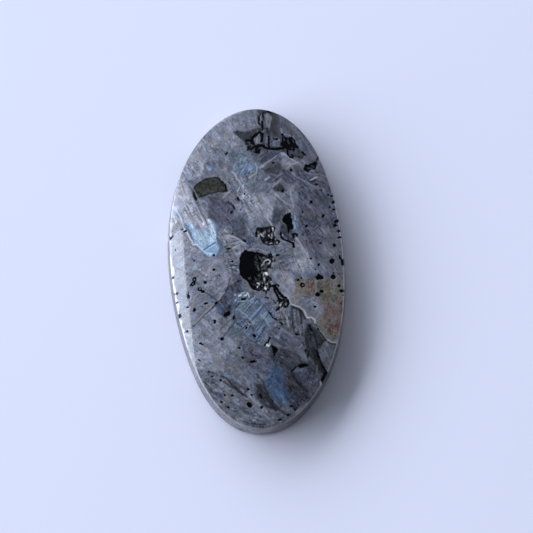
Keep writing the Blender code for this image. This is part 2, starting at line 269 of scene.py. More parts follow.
# Crystals: tone, width of the soft edge, direction of the streaks in degrees from +X and how strong
# they are, and the outline. Later ones lie over earlier ones.
CRYSTALS = (
    (ASH, .7, 115, .3, ((-9, 10.5), (-5.2, 14.8), (-2.5, 17), (.4, 17.7), (.6, 15.2), (-1.8, 14.9), (-.7, 13.6),
                        (-1.6, 12.8), (-4, 12.4), (-5.4, 11.4))),
    (GREY, .4, 95, .4, ((-1.9, 17.4), (.2, 17.8), (.9, 17), (1.1, 15.2), (.2, 15.2), (-1.8, 15))),
    (DUSK, .3, 95, .9, ((.95, 15.1), (.9, 16.6), (1.1, 17.9), (2.4, 17.8), (3.4, 17.2), (4, 16.4), (3.3, 15.2),
                        (3.2, 14.6), (3.6, 14.2), (4.5, 14), (4.9, 13), (5.7, 12.2), (5.4, 11.7), (4.5, 11.4),
                        (3.7, 12.2), (2.8, 12.6), (1, 12.5), (-.1, 12.4), (-.5, 12.8), (-.6, 13.4), (-1.3, 14.1),
                        (-2, 14.75), (-1.5, 15), (-.6, 14.85), (.2, 15.2))),
    (SOOT, .15, 60, .4, ((-1.95, 14.75), (-1.5, 15), (-.6, 14.85), (0, 14.6), (.1, 14), (-.5, 13.7), (-1.3, 14.1))),
    (GREY, .2, 95, .5, ((1.5, 16.9), (2.1, 17), (2.3, 16.2), (1.9, 14.8), (1.5, 15.2))),
    (STEEL, .3, 95, .6, ((3, 16.9), (4.2, 16.2), (3.6, 15.2), (3.1, 15.4))),
    (GREY, .15, 60, .4, ((.2, 13.9), (.9, 14.4), (1, 13.5), (.4, 13.2))),
    (SLATE, .15, 60, .4, ((1.3, 14.4), (1.8, 14.4), (1.75, 13.2), (1.3, 13.3))),
    (SLATE, .15, 60, .4, ((2, 13.6), (2.6, 13.9), (3.1, 13.7), (3.1, 13), (2.2, 12.9))),
    (SLATE, .4, 110, .4, ((4, 16.7), (5.5, 14.9), (7.3, 11.8), (7.2, 10.9), (5.9, 10.9), (5.4, 11.6), (5.7, 12.3),
                          (5.1, 13), (4.6, 14.2), (3.6, 14.5), (3.5, 15.2))),
    (STEEL, .3, 40, .5, ((-.2, 12.5), (1, 12.6), (2.7, 12.6), (3.7, 12.2), (3.4, 11.3), (1.2, 11), (.2, 11.2))),
    (ASH, .2, 40, .4, ((3.1, 12.4), (3.7, 12.1), (4.4, 11.3), (4.9, 11), (4, 10.6), (3.3, 10.9))),
    (HAZE, .8, 60, .5, ((-2, 12.3), (-.2, 12), (.5, 10.8), (-.3, 9.8), (-2.2, 9.9))),
    (SEA, .5, 60, .3, ((-2, 12.4), (-1, 12.2), (-1.1, 11.4), (-1.9, 11.3))),
    (PALE, .3, 118, .5, ((-9, 10.6), (-6.4, 12.8), (-5.4, 11.5), (-5.6, 10.1), (-7.3, 9.6))),
    (CLOUD, .4, 111, .8, ((-9.8, 3.5), (-9.4, 8.3), (-7.6, 10.1), (-6.9, 8.5), (-6.3, 7.1), (-5.6, 5.2),
                          (-4.9, 5.1), (-4.6, 3.6), (-5.1, 3.2), (-6.4, 4.4), (-7.4, 4.2), (-8.2, 5.3))),
    (PALE, .4, 30, .3, ((-9.8, 3.2), (-8.1, 4.2), (-7, 2.2), (-5.7, 1.2), (-3.6, .6), (-3, -1.2), (-3.1, -2.6),
                       (-4.3, -3.7), (-5.2, -3.2), (-6.4, -1.7), (-9.5, .8))),
    (ASH, .5, 30, .3, ((-5.6, -1.6), (-4, -1.2), (-3.4, -2.8), (-4.4, -3.5), (-5.4, -2.8))),
    (ASH, .25, 35, .2, ((-9.8, .6), (-7.9, -.5), (-6.4, -1.8), (-5.2, -3.2), (-4.5, -3.9), (-7.1, -6.5),
                         (-8.9, -6.4))),
    (PALE, .3, 140, .3, ((-8.6, -6.6), (-7.1, -6.6), (-4.7, -4.2), (-4, -5.2), (-4.4, -7.5), (-2.5, -8.6),
                        (-1.5, -9.6), (-2, -11.2), (-4.4, -11.8), (-7.3, -11))),
    (GREY, .5, 140, .3, ((-3.7, -8.8), (-1.5, -9.6), (-1.6, -11.4), (-2.6, -12), (-4.2, -11.7), (-3.8, -10.2))),
    (STEEL, .3, 120, .7, ((-4.8, -4.2), (-3.9, -3.6), (-3, -2.2), (-2.1, -1.6), (-1.6, -2.9), (-2.7, -5),
                          (-3.4, -5.9), (-4.5, -5.2))),
    (ASH, .3, 14, .8, ((-4, 3.8), (-2.4, 3), (-1.2, 2.6), (-1.5, 1.4), (-1.9, .6), (-2.1, -1), (-3.2, -.9),
                       (-3.6, .4), (-3.5, 2.2))),
    (SLATE, .3, 125, .5, ((-5.2, 7.7), (-3.1, 7.3), (-2.1, 6.1), (-2.4, 5.2), (-3.3, 4.2), (-4.1, 3.9),
                          (-4.7, 4.9), (-5.1, 5.3))),
    (STEEL, .5, 120, .5, ((-2.6, 5), (-1.6, 5.2), (-1.1, 4.4), (-1.1, 3.3), (-1.5, 2.8), (-2.1, 3), (-2.8, 3.7))),
    (PALE, .5, 120, .8, ((-1.5, 9.5), (1.5, 9.4), (2.1, 7.5), (2.2, 6.2), (1.3, 4.4), (.2, 4.1), (-.8, 4.9),
                         (-1.3, 6.5))),
    (GREY, .4, 40, .4, ((-.6, 9.6), (.6, 10.2), (2.9, 9.6), (2.7, 8.3), (1.9, 7.5), (-.2, 7.7), (-.9, 8.6))),
    (SHADE, .3, 40, .4, ((.9, 10.5), (1.7, 11.1), (2.2, 11.3), (2.9, 11.1), (3.2, 10.7), (3.35, 10.1), (3, 9.7),
                         (2.3, 9.9), (1.2, 10))),
    (STEEL, .2, 45, .5, ((1.9, 9.8), (3, 9.7), (2.9, 9.2), (2, 8.9), (1.3, 9))),
    (STEEL, .4, 130, .6, ((3.1, 10.4), (3.9, 10.2), (4.6, 8.9), (3.8, 8.7), (2.8, 9.6))),
    (SHADE, .2, 45, .5, ((2, 8.2), (2.75, 9), (3.1, 8.5), (3.4, 7.9), (2.9, 7.7), (2.1, 8))),
    (SHADE, .4, 60, .6, ((2, 6.1), (3.4, 6), (3.2, 5.3), (2.5, 4.1), (1.9, 4.2), (1.8, 5.3))),
    (SLATE, .5, 125, .6, ((4.4, 10.6), (6.3, 10), (8.4, 10.2), (9.6, 6), (9.8, 1.6), (8.9, .5), (6.4, 0),
                          (5.2, 1.4), (4.6, 3.2), (4.6, 5.6), (4.8, 8.1))),
    (GREY, .5, 125, .4, ((7.2, 4), (9.7, 3.8), (9.8, -.5), (7.2, .4))),
    (DEEP_BLUE, .4, 100, .3, ((4, 5.3), (4.6, 5), (4.7, 3.3), (4.1, 3.3))),
    (DUSK, .25, 60, .6, ((2.9, 4.2), (3.4, 3.9), (4, 3.5), (4.1, 2.9), (3.9, 2.2), (3.4, 2.4), (2.9, 2.8),
                         (2.5, 3.6))),
    (GREY, .3, 20, .5, ((-.8, 2.3), (.5, 2.1), (3.8, 1.7), (4.3, 2.5), (5.2, .9), (4.1, -1), (2.5, -1.5),
                        (2.2, .6), (1.2, 1.1), (-.8, 1.5))),
    (STEEL, .25, 100, .4, ((-1.2, 2.7), (-.3, 3), (-.2, 2.4), (-.5, 1.65), (-1, 1.4), (-1.1, 2))),
    (PALE, .3, 120, .3, ((2.2, -.8), (3.9, -1.2), (4.1, -2.2), (4.2, -4.2), (3.4, -4.7), (2.4, -3.2), (1.6, -1.6))),
    (PALE, .4, 115, .6, ((4, 2.3), (4.9, 1.9), (5.9, -.2), (6, -1.2), (4.7, -1.4), (3.8, -.9))),
    (WARM, .4, 60, .4, ((4, -1.8), (6, -1.9), (9.8, -1.6), (9.7, -5.5), (9, -8.9), (8.1, -9), (7, -8.4), (6, -6.9),
                        (5.6, -6.1), (5, -5.9), (4.5, -5.2), (3.7, -4.7), (3.9, -3.5))),
    (ASH, .5, 60, .4, ((4, -3.8), (6.4, -3.9), (6.8, -5.4), (6.2, -6.6), (5.2, -6), (4.2, -5))),
    (BARK, .5, 95, .3, ((5, -1.9), (6, -1.95), (6, -3.1), (5.2, -3.3))),
    (MOSS, .6, 60, .3, ((6.2, -2), (7.6, -2.1), (8, -4.2), (6.4, -4.5))),
    (RUST, .8, 70, .4, ((7.2, -5), (9.5, -3.6), (9.5, -7), (8.1, -8.4), (6.8, -7.2))),
    (HAZE, .3, 48, .7, ((-2.6, -3), (-1, -3.2), (.7, -4.2), (1.4, -5.2), (1.5, -6.2), (.7, -7.4), (.4, -8.8),
                        (-.6, -8.6), (-1.6, -7.8), (-2.8, -6.9), (-3.4, -6.5), (-2.9, -5.9), (-2.7, -4.9))),
    (ASH, .15, 48, .3, ((-4.4, -7.1), (-3.1, -6), (-2.8, -6.3), (-3.9, -7.8), (-4.3, -7.8))),
    (SEA, .3, 48, .4, ((-3.8, -7.8), (-2.7, -6.6), (-2, -7.2), (-2.8, -8.2))),
    (HAZE, .3, 48, .5, ((-.1, -5.9), (1, -5.5), (1.2, -6.3), (.3, -7))),
    (GREY, .4, 95, .8, ((1.7, -4.7), (3.3, -4.9), (4.6, -5.6), (5, -7), (4.6, -8.4), (3.2, -8.3), (2.2, -7),
                        (1.4, -6.2))),
    (SLATE, .4, 140, .6, ((.8, -7.2), (2.2, -7), (4.6, -8.6), (4.4, -9.6), (2.2, -9.2), (1, -8.2))),
    (SLATE, .5, 145, .4, ((-2.2, -8.8), (.2, -9.2), (2, -10.4), (2.8, -12), (.8, -12.2), (-1.2, -11.4),
                          (-2.2, -10.2))),
    (SHADE, .5, 140, .6, ((.5, -9), (2, -9.1), (3.6, -9.6), (4.8, -11), (3, -12), (1.2, -10.7))),
    (SOOT, .4, 100, .7, ((4.8, -7.6), (5.2, -6.8), (6, -7.4), (7, -8.7), (6.3, -9.4), (6.1, -10.2), (6.9, -11.7),
                         (7, -12.6), (6.2, -12.2), (5.4, -11.2), (4.7, -9.6), (4.7, -8.6))),
    (DUSK, .2, 100, .6, ((4.85, -6.75), (5.5, -6.8), (5.9, -7.5), (6.7, -8.45), (5.9, -9.2), (5.6, -9.6), (4.5, -9),
                          (4.75, -7.9))),
    (GREY, .3, 110, .5, ((6.7, -9), (9.3, -9.2), (8.6, -11), (7.5, -12.6), (7, -12.3), (6.8, -11), (6.2, -9.8))),
    (SHADE, .4, 135, .6, ((2.2, -12), (3.3, -11.4), (5, -10.8), (6, -12), (6.6, -13.4), (5.4, -15.2), (3.6, -16.6),
                          (2.6, -15.2), (2, -13.6))),
    (DEEP_BLUE, .9, 120, .2, ((.4, -12.6), (1.5, -10.9), (2.3, -12), (2.1, -13.6), (3.1, -14.6), (2.6, -15.6),
                              (1.3, -15.2), (.8, -14.2))),
    (SLATE, .3, 150, .6, ((4.1, -13.3), (5.1, -12.4), (6.1, -12.6), (6.3, -13.4), (5.8, -14.2), (5, -14.8),
                            (4.5, -14.1))),
    (STEEL, .2, 150, .3, ((3.3, -11.8), (4.4, -11.5), (4.9, -12.2), (4.5, -12.8), (3.8, -12.7))),
    (GREY, .3, 140, .5, ((-7, -11.3), (-4.4, -11.8), (-1.7, -13.6), (-.9, -14.6), (-1.4, -15.6), (-3, -16),
                          (-5.2, -15.2), (-7, -13))),
    (DUSK, .4, 135, .9, ((-1, -13), (.3, -12.9), (.9, -14.6), (2, -15.8), (1.2, -16.2), (-.2, -15.2), (-.9, -14.4))),
    (GREY, .4, 160, .6, ((-4.2, -15.6), (-1, -15.9), (.2, -16.8), (-.2, -18.2), (-3, -17.6))),
    (GREY, .4, 150, .5, ((.8, -16.4), (3.2, -16), (5.2, -14.8), (5.4, -15.6), (3, -17.9), (.4, -18.2))),
    # These crystals' blue flash is a painted sheen, laid into their colour.
    (FLASH, .3, 111, .5, ((-7.6, 4.6), (-6.9, 3), (-6.5, 2.4), (-5.9, 1.6), (-5.2, 1.2), (-4.3, 1.3), (-3.9, 2),
                          (-4.3, 3.2), (-4.8, 5.1), (-5.1, 4), (-5.6, 3.9), (-6.4, 4.1), (-7, 5))),
    (BRIGHT_FLASH, .2, 30, .2, ((-5.8, 1.7), (-5.2, 1.15), (-4.4, .95), (-4, 1.7), (-4.4, 2.4))),
    (HAZE, .5, 111, .3, ((-4.3, 3), (-3.5, 2.4), (-3.5, 1.3), (-4.1, .8), (-4, 1.8))),
)

# Thin marks in the feldspar: tone, width in millimetres, how strong, and the points. Pale ones are
# cleavage planes that catch the light, dark ones cracks and twin planes.
STREAKS = (
    (SOOT, .12, .9, ((-7.15, 8.5), (-6.5, 7.3), (-5.8, 5.8), (-5.4, 5.1))),
    ("a8a7af", .12, .9, ((-7.35, 8.8), (-6.65, 7.4), (-6, 5.9), (-5.5, 4.9))),
    ("a8a7af", .08, .7, ((-6.9, 9.3), (-6.1, 7.5), (-5.2, 5.4))),
    (SLATE, .08, .8, ((-6.2, 7), (-5.6, 5.4), (-5.1, 4.2))),
    ("aeadb4", .1, .6, ((-8.9, 8.3), (-8.2, 7), (-7.3, 5.2))),
    ("82858f", .1, .7, ((-8.5, 8.2), (-7.6, 6.5), (-6.9, 5))),
    ("c9cbd1", .1, .7, ((-8.8, 7), (-8.1, 5.6), (-7.7, 4.2))),
    ("e8ebf0", .12, .9, ((-7.7, 4.2), (-7.2, 3.3), (-6.85, 2.4), (-6.35, 2.35), (-5.9, 1.75))),
    ("d3e2f2", .1, .8, ((-5.9, 1.72), (-5.5, 1.35), (-5.1, 1.3), (-4.8, 1.25))),
    ("586371", .14, .9, ((-8.3, 6.4), (-7.6, 4.7), (-7.1, 3.6), (-6.75, 2.7))),
    ("4c5665", .15, .9, ((-5.75, 1.7), (-5.2, 2.05), (-4.45, 2.5))),
    ("c3d7ec", .08, .7, ((-5.6, 1.62), (-5.1, 1.9), (-4.5, 2.25))),
    ("d6e1ea", .1, .9, ((-5.05, 5.1), (-4.8, 4.4), (-4.85, 3.8), (-4.6, 3))),
    ("d6e1ea", .09, .85, ((-4.7, 4.5), (-4.5, 3.7), (-4.35, 2.7))),
    (SLATE, .1, .8, ((-5.05, 3.9), (-4.8, 3.2))),
    ("5f6e7d", .08, .8, ((-6.9, 3.2), (-6.2, 2.3))),
    ("b8b5bc", .12, .85, ((-2.3, 10.3), (-2, 10.05), (-1.8, 9.5), (-1.6, 9.25), (-1.4, 8.9), (-1.55, 8.5), (-1.8, 8.1))),
    (SHADE, .1, .8, ((-1.65, 9.1), (-1.5, 8.8), (-1.45, 8.5), (-1.6, 8.2))),
    (SHADE, .12, .7, ((-2.65, 9), (-2.4, 8.4), (-2.1, 7.9), (-1.9, 7.6))),
    ("aca9b2", .14, .56, ((-1.8, 7.8), (-1.7, 7.5), (-1.4, 7.2))),
    ("9f9ca7", .16, .56, ((-3.4, 7.5), (-3, 7.8), (-2.6, 8.1))),
    ("aca9b4", .16, .56, ((-1.95, 6.45), (-1.6, 6.6), (-1.5, 6.3), (-1.8, 6.15))),
    ("aca9b4", .14, .56, ((-1.85, 5.9), (-1.5, 5.7), (-1.2, 6.1))),
    (SLATE, .12, .8, ((-1, 6.9), (-.5, 5.9), (-.1, 5.4))),
    ("9c9fa9", .12, .8, ((.3, 11.1), (.45, 10.7), (.4, 10.4), (.3, 10), (-.2, 9.75), (-.5, 9.5))),
    ("aaa6b0", .12, .63, ((.7, 10.6), (1.1, 10.85), (1.6, 11.2), (2.2, 11.6), (2.6, 11.95))),
    (SHADE, .14, .8, ((.5, 11.5), (1, 11.2), (1.5, 11.6), (2.1, 12.1))),
    ("aaa6b0", .12, .56, ((3.4, 12.2), (4, 11.7), (4.7, 11.2), (5, 11))),
    ("aaa6b0", .1, .63, ((3.6, 10.4), (4, 10.7), (4.5, 11), (4.9, 11.2))),
    ("adafb6", .16, .63, ((1.25, 9.2), (1.75, 9.5))),
    (SHADE, .14, .8, ((1.4, 9.05), (1.85, 9.35))),
    ("9896a1", .12, .63, ((2, 8.35), (2.6, 8.95), (3, 9.3))),
    ("92919c", .1, .56, ((2.5, 9.5), (3.2, 10))),
    ("92919c", .12, .63, ((2.9, 7.15), (3.4, 7.6), (3.9, 8.05), (4.6, 8.7))),
    (SHADE, .18, .8, ((3.35, 7.6), (3.6, 7.4), (3.8, 7.2))),
    ("8e8e9a", .1, .8, ((2.1, 7.8), (2.9, 6.9), (3.9, 6.2))),
    (SHADE, .12, .8, ((2.4, 7.2), (3.1, 6.5), (3.8, 5.9))),
    ("9ca3ab", .12, .7, ((2.3, 7.6), (2.6, 7.2))),
    ("3c3d4b", .2, .8, ((3.3, 10), (3.9, 9.4), (4.2, 9.1))),
    ("3c3d4b", .14, .8, ((3.7, 10.2), (4.3, 9.6), (4.9, 9.2))),
    ("3c3d4b", .14, .8, ((3.5, 9.3), (4.1, 8.8), (4.4, 8.9))),
    ("82828f", .1, .8, ((4.2, 9.9), (4.9, 9.3), (5.6, 8.9), (6.2, 8.5))),
    ("9ca3ad", .2, .6, ((3.95, 7.9), (3.95, 7.3), (4.1, 6.7), (4.2, 6.1))),
    ("b2afb9", .12, .85, ((1.35, 5.5), (1.33, 4.9), (1.6, 4.4), (1.82, 4))),
    ("9c9aa4", .12, .49, ((.9, 6.3), (1.15, 5.7), (1.1, 5.2))),
    ("9e9da7", .1, .7, ((-.1, 7.2), (.1, 6.5), (.2, 6))),
    ("c0bcc4", .12, .85, ((6.2, 9.05), (6.5, 9.2), (6.9, 9.45))),
    ("121112", .18, .9, ((6.1, 8.95), (6.5, 8.95), (6.8, 9.1))),
    (SOOT, .14, .7, ((6.9, 9), (7.4, 8.9), (7.8, 8.6))),
    ("6f6f7d", .16, .8, ((5.6, 9), (6.2, 8.6), (6.8, 8.2), (7.2, 8.1))),
    (SOOT, .3, .8, ((6.7, 7.9), (7.05, 7.25), (7.4, 6.75))),
    (SHADE, .3, .7, ((6.1, 5.1), (6.5, 4.4), (6.9, 3.95))),
    ("787886", .12, .8, ((5.2, 7.2), (5.7, 6.4), (6.2, 5.8))),
    (SHADE, .12, .7, ((5.4, 6.3), (6, 5.3), (6.2, 4.9))),
    ("71717d", .1, .7, ((6.8, 6.1), (7.4, 5.4), (8.1, 4.4))),
    ("7d7d88", .1, .7, ((5.1, 4.6), (5.9, 3.4), (6.3, 3))),
    (SHADE, .1, .7, ((7.3, 7.7), (7.9, 6.6), (8.1, 5.9))),
    ("888895", .1, .6, ((5.6, 10), (6.4, 9.7), (7.4, 9.8), (8, 9.4))),
    ("a1adb4", .16, .8, ((4.25, 5.1), (4.3, 4.7))),
    ("92a1a9", .2, .7, ((4.15, 4.4), (4.2, 3.7))),
    ("adabb4", .16, .8, ((4.3, 2.6), (4.9, 1.6), (5.3, .8), (5.8, -.2))),
    ("9c9aa3", .12, .7, ((3.5, .3), (3.9, -1.1))),
    ("b4b5b8", .2, .8, ((4.4, .2), (4.7, -.1))),
    ("9c9aa3", .14, .7, ((4.8, 1.5), (5.2, .3), (5.3, -.5))),
    (SLATE, .12, .7, ((5, 15.4), (5.6, 14), (6.4, 12.4))),
    ("7f7f88", .1, .6, ((4.5, 15.7), (5.6, 13.8), (6.7, 12))),
    (SOOT, .2, .9, ((.95, 16.6), (.92, 16), (1, 15.5))),
    (SOOT, .2, .9, ((1.25, 15.9), (1.25, 15.3), (1.2, 15))),
    (SOOT, .18, .9, ((1.45, 17), (1.4, 16.3))),
    (SOOT, .2, .9, ((1.85, 13), (1.85, 13.6), (1.95, 14.3), (2.1, 15), (2.4, 16.2))),
    (SOOT, .26, .8, ((2.7, 16.6), (2.6, 15.4), (2.7, 14.3))),
    (SHADE, .14, .7, ((.1, 17.2), (.3, 16.4), (.2, 15.6))),
    ("908d95", .1, .7, ((1.15, 16.7), (1.1, 15.7))),
    ("96939a", .1, .7, ((3.25, 14.9), (3.35, 14.6))),
    (SOOT, .14, .95, ((-2.3, 3.15), (-2, 2.98), (-1.6, 2.72), (-1.15, 2.38))),
    ("b5b1b5", .14, .8, ((-3.05, 3.2), (-2.6, 3), (-2.3, 2.93), (-1.8, 2.62), (-1.4, 2.3), (-1.2, 2.05))),
    ("b5b1b5", .16, .7, ((-3.4, 3.75), (-3.15, 3.6))),
    ("9b979b", .1, .7, ((-3.5, 2.9), (-3, 2.7), (-2.4, 2.65))),
    ("9b979b", .1, .7, ((-3.6, 2.3), (-2.9, 2.2), (-2.2, 2.35), (-1.8, 2.1))),
    ("9b979b", .09, .6, ((-3, 1.45), (-2.3, 1.75), (-1.7, 1.7))),
    (SHADE, .08, .6, ((-3.3, 2.55), (-2.6, 2.4), (-1.9, 2.6))),
    ("a9a6ad", .1, .7, ((-.6, 1.6), (.1, 1.5), (.7, 1.3), (1.2, 1.1))),
    (SHADE, .1, .5, ((-3.3, 1.8), (-2.8, 1.7))),
    (SHADE, .1, .5, ((-3.1, 1.2), (-2.6, 1.3), (-2.1, 1.5))),
    ("121112", .16, .95, ((-2.9, -.17), (-2.2, -.15))),
    (SOOT, .12, .9, ((-3.4, -.1), (-3, -.45), (-2.3, -.75))),
    (SHADE, .1, .6, ((-3, 0), (-3.3, .9), (-3.6, 1.2))),
    (SHADE, .12, .7, ((-2.5, .9), (-2.1, .7))),
    (SOOT, .16, .9, ((-7.2, -6.5), (-6, -5.4), (-5, -4.6), (-4.3, -4), (-3.3, -2.6), (-3.05, -1.6))),
    ("9c979a", .12, .8, ((-7, -6.2), (-5.9, -5.2), (-4.7, -4.1), (-3.7, -3))),
    (SHADE, .2, .8, ((-6, -2.8), (-5.3, -3.2), (-4.7, -3.7), (-4.5, -4.1))),
    (SHADE, .1, .6, ((-8, -.4), (-7.2, -1.1), (-6.4, -2))),
    ("9e9ba0", .1, .6, ((-6.8, .4), (-6.2, .1))),
    (SOOT, .16, .9, ((-.75, -4.05), (-1.5, -4.85))),
    (SOOT, .14, .9, ((-2, -4.15), (-2.6, -4.75), (-2.75, -5.5))),
    (SHADE, .14, .9, ((.5, -4.6), (-.5, -5.85), (-1.2, -6.6))),
    (SHADE, .12, .9, ((1.1, -5.2), (.1, -6.7), (-.4, -7.4))),
    (SLATE, .14, .9, ((-1, -3.2), (-.1, -4), (.9, -5.2))),
    ("8e999e", .12, .8, ((-2.3, -4.9), (-1.4, -5.7), (-.6, -6.6))),
    ("8e999e", .12, .8, ((-.4, -3.6), (-1, -4.4), (-1.7, -5.2))),
    ("96a2a9", .14, .8, ((.1, -5.6), (.6, -6.2), (.9, -6.9))),
    (SHADE, .1, .8, ((-1.9, -5.1), (-1.5, -5.4))),
    (SHADE, .1, .8, ((-2.2, -5.8), (-1.5, -6.2), (-1.1, -5.7))),
    (SOOT, .14, .9, ((-2.8, -6.4), (-4, -7.8))),
    (SLATE, .12, .9, ((-3, -5.9), (-4.4, -7.1))),
    (SHADE, .12, .9, ((-2.7, -5.8), (-2.4, -6.6), (-1.7, -7.1), (-1, -6.4))),
    (SOOT, .14, .9, ((.5, -7), (-.2, -8), (-.6, -8.6))),
    (STEEL, .12, .9, ((-2, -7.6), (-1.3, -8.3), (-.5, -8.7), (.3, -9.2))),
    (SHADE, .12, .8, ((1.4, -7.2), (2.1, -6.9), (3, -7.6))),
    ("a7a7ac", .1, .8, ((-2.1, -4.1), (-1.6, -4.1))),
    (SHADE, .24, .7, ((-2, -8.4), (-2.3, -8.8), (-2.6, -9.1))),
    (SOOT, .22, .9, ((3.45, -4.9), (3.5, -6.3), (3.4, -7))),
    ("121112", .26, .9, ((3.6, -4.95), (4.2, -5.2), (4.6, -5.6), (4.75, -6.2))),
    ("121112", .26, .9, ((4.35, -5.4), (4.35, -6.2), (4.4, -6.7))),
    (SOOT, .14, .8, ((3.9, -5.3), (3.9, -6.8))),
    (SOOT, .16, .9, ((3.2, -6.35), (3.5, -6.25), (3.6, -6.6), (3.45, -7))),
    ("9e999e", .16, .8, ((2.4, -5.2), (2.9, -6.2), (3, -7))),
    ("99969d", .14, .8, ((2.2, -7.2), (2.9, -7.7), (3.4, -8.1))),
    ("a4a0a3", .12, .7, ((4, -9.4), (4.35, -9.05))),
    ("84848b", .12, .6, ((4.5, -10), (4.8, -11))),
    ("7c7c84", .4, .45, ((4.2, -9.9), (4.45, -10.7))),
    (SHADE, .14, .8, ((-5.8, -11.4), (-5.1, -11.7), (-4.8, -12))),
    ("17171a", .22, .9, ((-4.4, -12.05), (-3.9, -12.3), (-3.3, -13), (-2.7, -13.6), (-1.8, -14.4))),
    ("3a3236", .4, .6, ((-3.5, -12.7), (-2.6, -13.3))),
    (SOOT, .12, .8, ((-3.2, -12.5), (-2.4, -13.2), (-1.8, -13.8))),
    (SOOT, .14, .9, ((-4.25, -12.65), (-3.5, -13.1), (-2.9, -13.6), (-2.3, -14.1))),
    (SHADE, .1, .7, ((-6.8, -11.5), (-6.5, -12))),
    (SOOT, .16, .8, ((-6.3, -12.5), (-5.9, -13), (-5.5, -13.6), (-5, -14))),
    ("38435a", .3, .6, ((-5.1, -13.8), (-4.6, -14.3))),
    (SHADE, .14, .7, ((-6.1, -13), (-5.3, -14.3), (-4.2, -15.3))),
    (SHADE, .16, .7, ((-3.6, -14.9), (-2.9, -15.3), (-2, -16), (-1, -16.4))),
    (SOOT, .2, .8, ((-.6, -12), (0, -12.8), (.2, -13.6))),
    ("8a8c93", .16, .5, ((-1.9, -12.3), (-1.5, -12.9), (-1.5, -13.6), (-1.5, -14.4))),
    ("a3a2a8", .12, .8, ((-1.5, -14.3), (-1.1, -14.9), (-.6, -15.2), (-.35, -15.6))),
    ("8f9098", .26, .5, ((-1.1, -14.6), (-.7, -15.1), (-.2, -15.8))),
    ("99969d", .14, .7, ((-.7, -16.1), (0, -16.4), (.5, -16.9))),
    ("17171a", .18, .9, ((-1.4, -17.25), (-.6, -17.35), (0, -17.4))),
    (SHADE, .14, .8, ((-2.3, -16.9), (-1.8, -17.2))),
    (SOOT, .3, .8, ((.2, -14.2), (.8, -15.3), (1.7, -16), (2.6, -16.6))),
    ("141417", .24, .95, ((3.05, -11.9), (3.4, -12.7), (4, -13.5), (4.7, -14.05))),
    (SOOT, .24, .9, ((2, -10.6), (3, -11.6), (3.2, -12.2))),
    ("6f7078", .3, .6, ((3.6, -11.8), (4.2, -11.75))),
    ("bdbbc1", .13, .9, ((6.15, -13.05), (6.12, -13.6), (5.7, -14.3), (5.2, -14.85))),
    ("8d8b92", .16, .8, ((5.2, -14.85), (4.9, -15.1), (4.2, -15.7), (3.3, -16.3))),
    ("6e7d93", .2, .6, ((1.2, -15), (1.6, -15.5))),
    (ASH, .16, .6, ((5.9, -11.4), (5.8, -12.2), (6.3, -12.9))),
    ("8d8684", .14, .8, ((6.15, -1.9), (6.15, -3.4))),
    (SHADE, .14, .6, ((7.2, -6.9), (7.8, -7.1))),
    ("9e9696", .14, .6, ((7.6, -4.4), (8.1, -4.7), (8.4, -5))),
)

# Pale light patches and flecks: tone, place, half length, half width, turn, how strong.
FLECKS = (
    ("97aacd", -4.9, 10.8, .32, .22, -60, .75), ("9e9da4", -3.7, 14.4, .18, .14, 0, .7),
    ("a3adb3", -1.25, 10.7, .16, .12, 0, .7), ("a8a7ac", -3, 10.6, .3, .14, -30, .6),
    ("6e7d95", -7.4, 4.2, .5, .3, -60, .6), ("8ea0ad", 4.35, 4.1, .3, .7, 10, .4),
    ("5e687c", -.9, -12.1, .6, .4, -40, .4), ("8b96a3", -3.8, -12, .5, .25, -30, .5),
    ("829099", .5, -5.9, .5, .35, 40, .6), ("a3b1b8", 1.65, -8, .25, .2, 0, .5),
    ("b8babe", 2.2, -4.7, .18, .1, 20, .9),
    ("5e1f18", -8.68, -2.72, .12, .12, 0, .9), ("34130f", 8.9, -4.65, .16, .16, 0, .95),
    ("6e5048", 8.7, -5.3, .4, .6, 0, .5), ("734739", 8.1, -7.15, .4, .3, 20, .6),
    ("754836", 9.25, -1.7, .2, .3, 0, .7), ("664743", 7.1, -5.9, .4, .5, 20, .4),
    ("72584d", 8.6, -6.8, .4, .2, 0, .5), ("7d6847", 4.2, -2.9, .3, .5, 0, .3),
    ("4a4c54", -6.2, -10.7, .25, .22, 0, .8), ("4d5877", -4.7, -14.2, .4, .25, -40, .5),
    ("53607c", -4.3, -4.8, .4, .5, 30, .5),
    ("41526e", 1.5, -13.2, .5, .9, 15, .5), ("40516b", 2.3, -14.6, .5, .5, 0, .4),
    ("8d8d92", 1.5, -16.9, .3, .12, 10, .6), ("9f9a95", .8, -16.9, .3, .1, 10, .4),
    ("6d6e74", 5.2, -12.6, .2, .3, 20, .5),
)

# The healed crack: a pale line, and a dark one close along its lower side.
CRACK = ((3.1, -4.15), (3.3, -4.5), (3.6, -4.75), (4, -4.82), (4.4, -5.05), (4.8, -5.5), (4.92, -5.9), (5.1, -6.15),
         (5.5, -6.15), (5.8, -6.4), (5.92, -6.9), (6.05, -7.3), (6.4, -7.7), (7, -8.5), (7.5, -8.8), (8.2, -8.95))
CRACK_HALF_WIDTHS = (.02, .03, .06, .04, .04, .06, .06, .07, .05, .06, .04, .04, .03, .03, .03, .01)
CRACK_SHADOW = ((5.75, -6.6), (5.85, -7.2), (6.25, -7.75), (6.9, -8.6), (7.4, -8.95), (8.1, -9.1))

